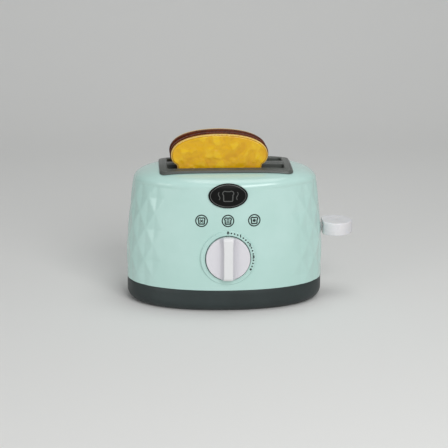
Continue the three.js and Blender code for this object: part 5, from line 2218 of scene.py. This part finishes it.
@dataclass
class Studio:
    """The pale floor and backdrop, the soft lights and the camera, in metres and degrees."""

    focal: float = 120.54
    sensor: float = 36.0
    pitch: float = 16.0
    yaw: float = 3.76
    roll: float = 0.4
    distance: float = 1.41
    target: tuple[float, float, float] = (-0.00048, 0.0, 0.0686)
    lamps: tuple[SoftLamp, ...] = (
        SoftLamp("key", (0.4, -1.15, 0.85), 0.75, 9.6, (0, 0, 0.07)),
        SoftLamp("fill", (-0.95, -0.9, 0.3), 0.5, 2.2, (0, 0, 0.07)),
        SoftLamp("top", (0.15, 0.0, 1.15), 0.6, 2.4, (0, 0, 0.1)),
    )
    floor_reach: float = 5.0
    floor_end: float = 0.6
    sweep: float = 0.5
    backdrop_top: float = 6.0
    paper: Colour = linear(232, 232, 230)
    surrounding: Colour = (0.96, 0.98, 1.0)
    world_light: float = 0.32
    world_shown: float = 0.9

    def camera(self) -> None:
        """Place the camera at the photograph's angle."""
        pitch, yaw, roll = (math.radians(value) for value in (self.pitch, self.yaw, self.roll))
        ahead = Vector((math.sin(yaw) * math.cos(pitch), math.cos(yaw) * math.cos(pitch), -math.sin(pitch)))
        right = Vector((math.cos(yaw), -math.sin(yaw), 0))
        up = right.cross(ahead)
        right_turned = right * math.cos(roll) + up * math.sin(roll)
        up_turned = up * math.cos(roll) - right * math.sin(roll)
        data = bpy.data.cameras.new("camera")
        data.lens, data.sensor_width = self.focal, self.sensor
        data.clip_start, data.clip_end = 0.05, 20.0
        made = add_object("camera", data)
        turned = Matrix((right_turned, up_turned, -ahead)).transposed().to_4x4()
        made.matrix_world = Matrix.Translation(Vector(self.target) - ahead * self.distance) @ turned
        bpy.context.scene.camera = made

    def floor(self) -> Object:
        """Lay a pale floor that curves up into a backdrop.

        Returns:
            The floor.
        """
        reach, end, sweep = self.floor_reach, self.floor_end, self.sweep
        profile = [(-reach, 0.0), (end, 0.0), *((end + run, rise) for rise, run in corner_arc(sweep, 12)[1:])]
        profile.append((end + sweep, self.backdrop_top))

        def place(column: int, row: int) -> Vector:
            """Return a point of the backdrop."""
            return Vector((reach * (column - 1), *profile[row])) / MM

        ground = object_from("backdrop", woven(2, len(profile) - 1, place, around=False), 60.0)
        for face in ground.data.polygons:
            face.use_smooth = True
        paper = Paint("pale_paper")
        paper.shade(Base_Color=rgba(self.paper), Roughness=0.9)
        ground.data.materials.append(paper.material)
        return ground

    def world(self) -> None:
        """Light the surroundings evenly and show them pale."""
        made = bpy.data.worlds.new("studio")
        made.use_nodes = True
        made.node_tree.nodes.clear()
        sheet = Sheet(made.node_tree)
        dim, bright = (
            sheet.add("ShaderNodeBackground", Strength=strength, Color=rgba(self.surrounding)).outputs[0]
            for strength in (self.world_light, self.world_shown)
        )
        rays = sheet.add("ShaderNodeLightPath").outputs["Is Camera Ray"]
        mix = sheet.fed(sheet.add("ShaderNodeMixShader"), (rays, dim, bright))
        sheet.add("ShaderNodeOutputWorld", Surface=mix.outputs[0])
        bpy.context.scene.world = made

    def build(self) -> list[Object]:
        """Set the studio up.

        Returns:
            The floor.
        """
        self.camera()
        for lamp in self.lamps:
            lamp.build()
        ground = self.floor()
        self.world()
        bpy.context.scene.view_settings.view_transform = "Standard"
        return [ground]


def main() -> None:
    """Build the toaster's looks in order and report each piece with its count of faces."""
    logging.basicConfig(level=logging.INFO, format="%(name)s: %(message)s")
    noise.seed_set(NOISE_SEED)
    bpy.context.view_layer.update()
    assemblies = (
        Casing(),
        BaseTray(),
        Bezel(),
        Badge(),
        Prints(),
        TimerKnob(),
        LeverPaddle(),
        ToastSlice(Side.FRONT),
        ToastSlice(Side.REAR, height=86.7, shoulder=67.0),
        LiftSpring(Side.FRONT, (66.0, -9.0)),
        LiftSpring(Side.REAR, (66.0, 9.0)),
        InnerWorks(),
        Studio(),
    )
    for assembly in assemblies:
        for piece in assembly.build():
            log.info("%s: %s with %d faces", type(assembly).__name__, piece.name, len(piece.data.polygons))


if __name__ == "__main__":
    main()
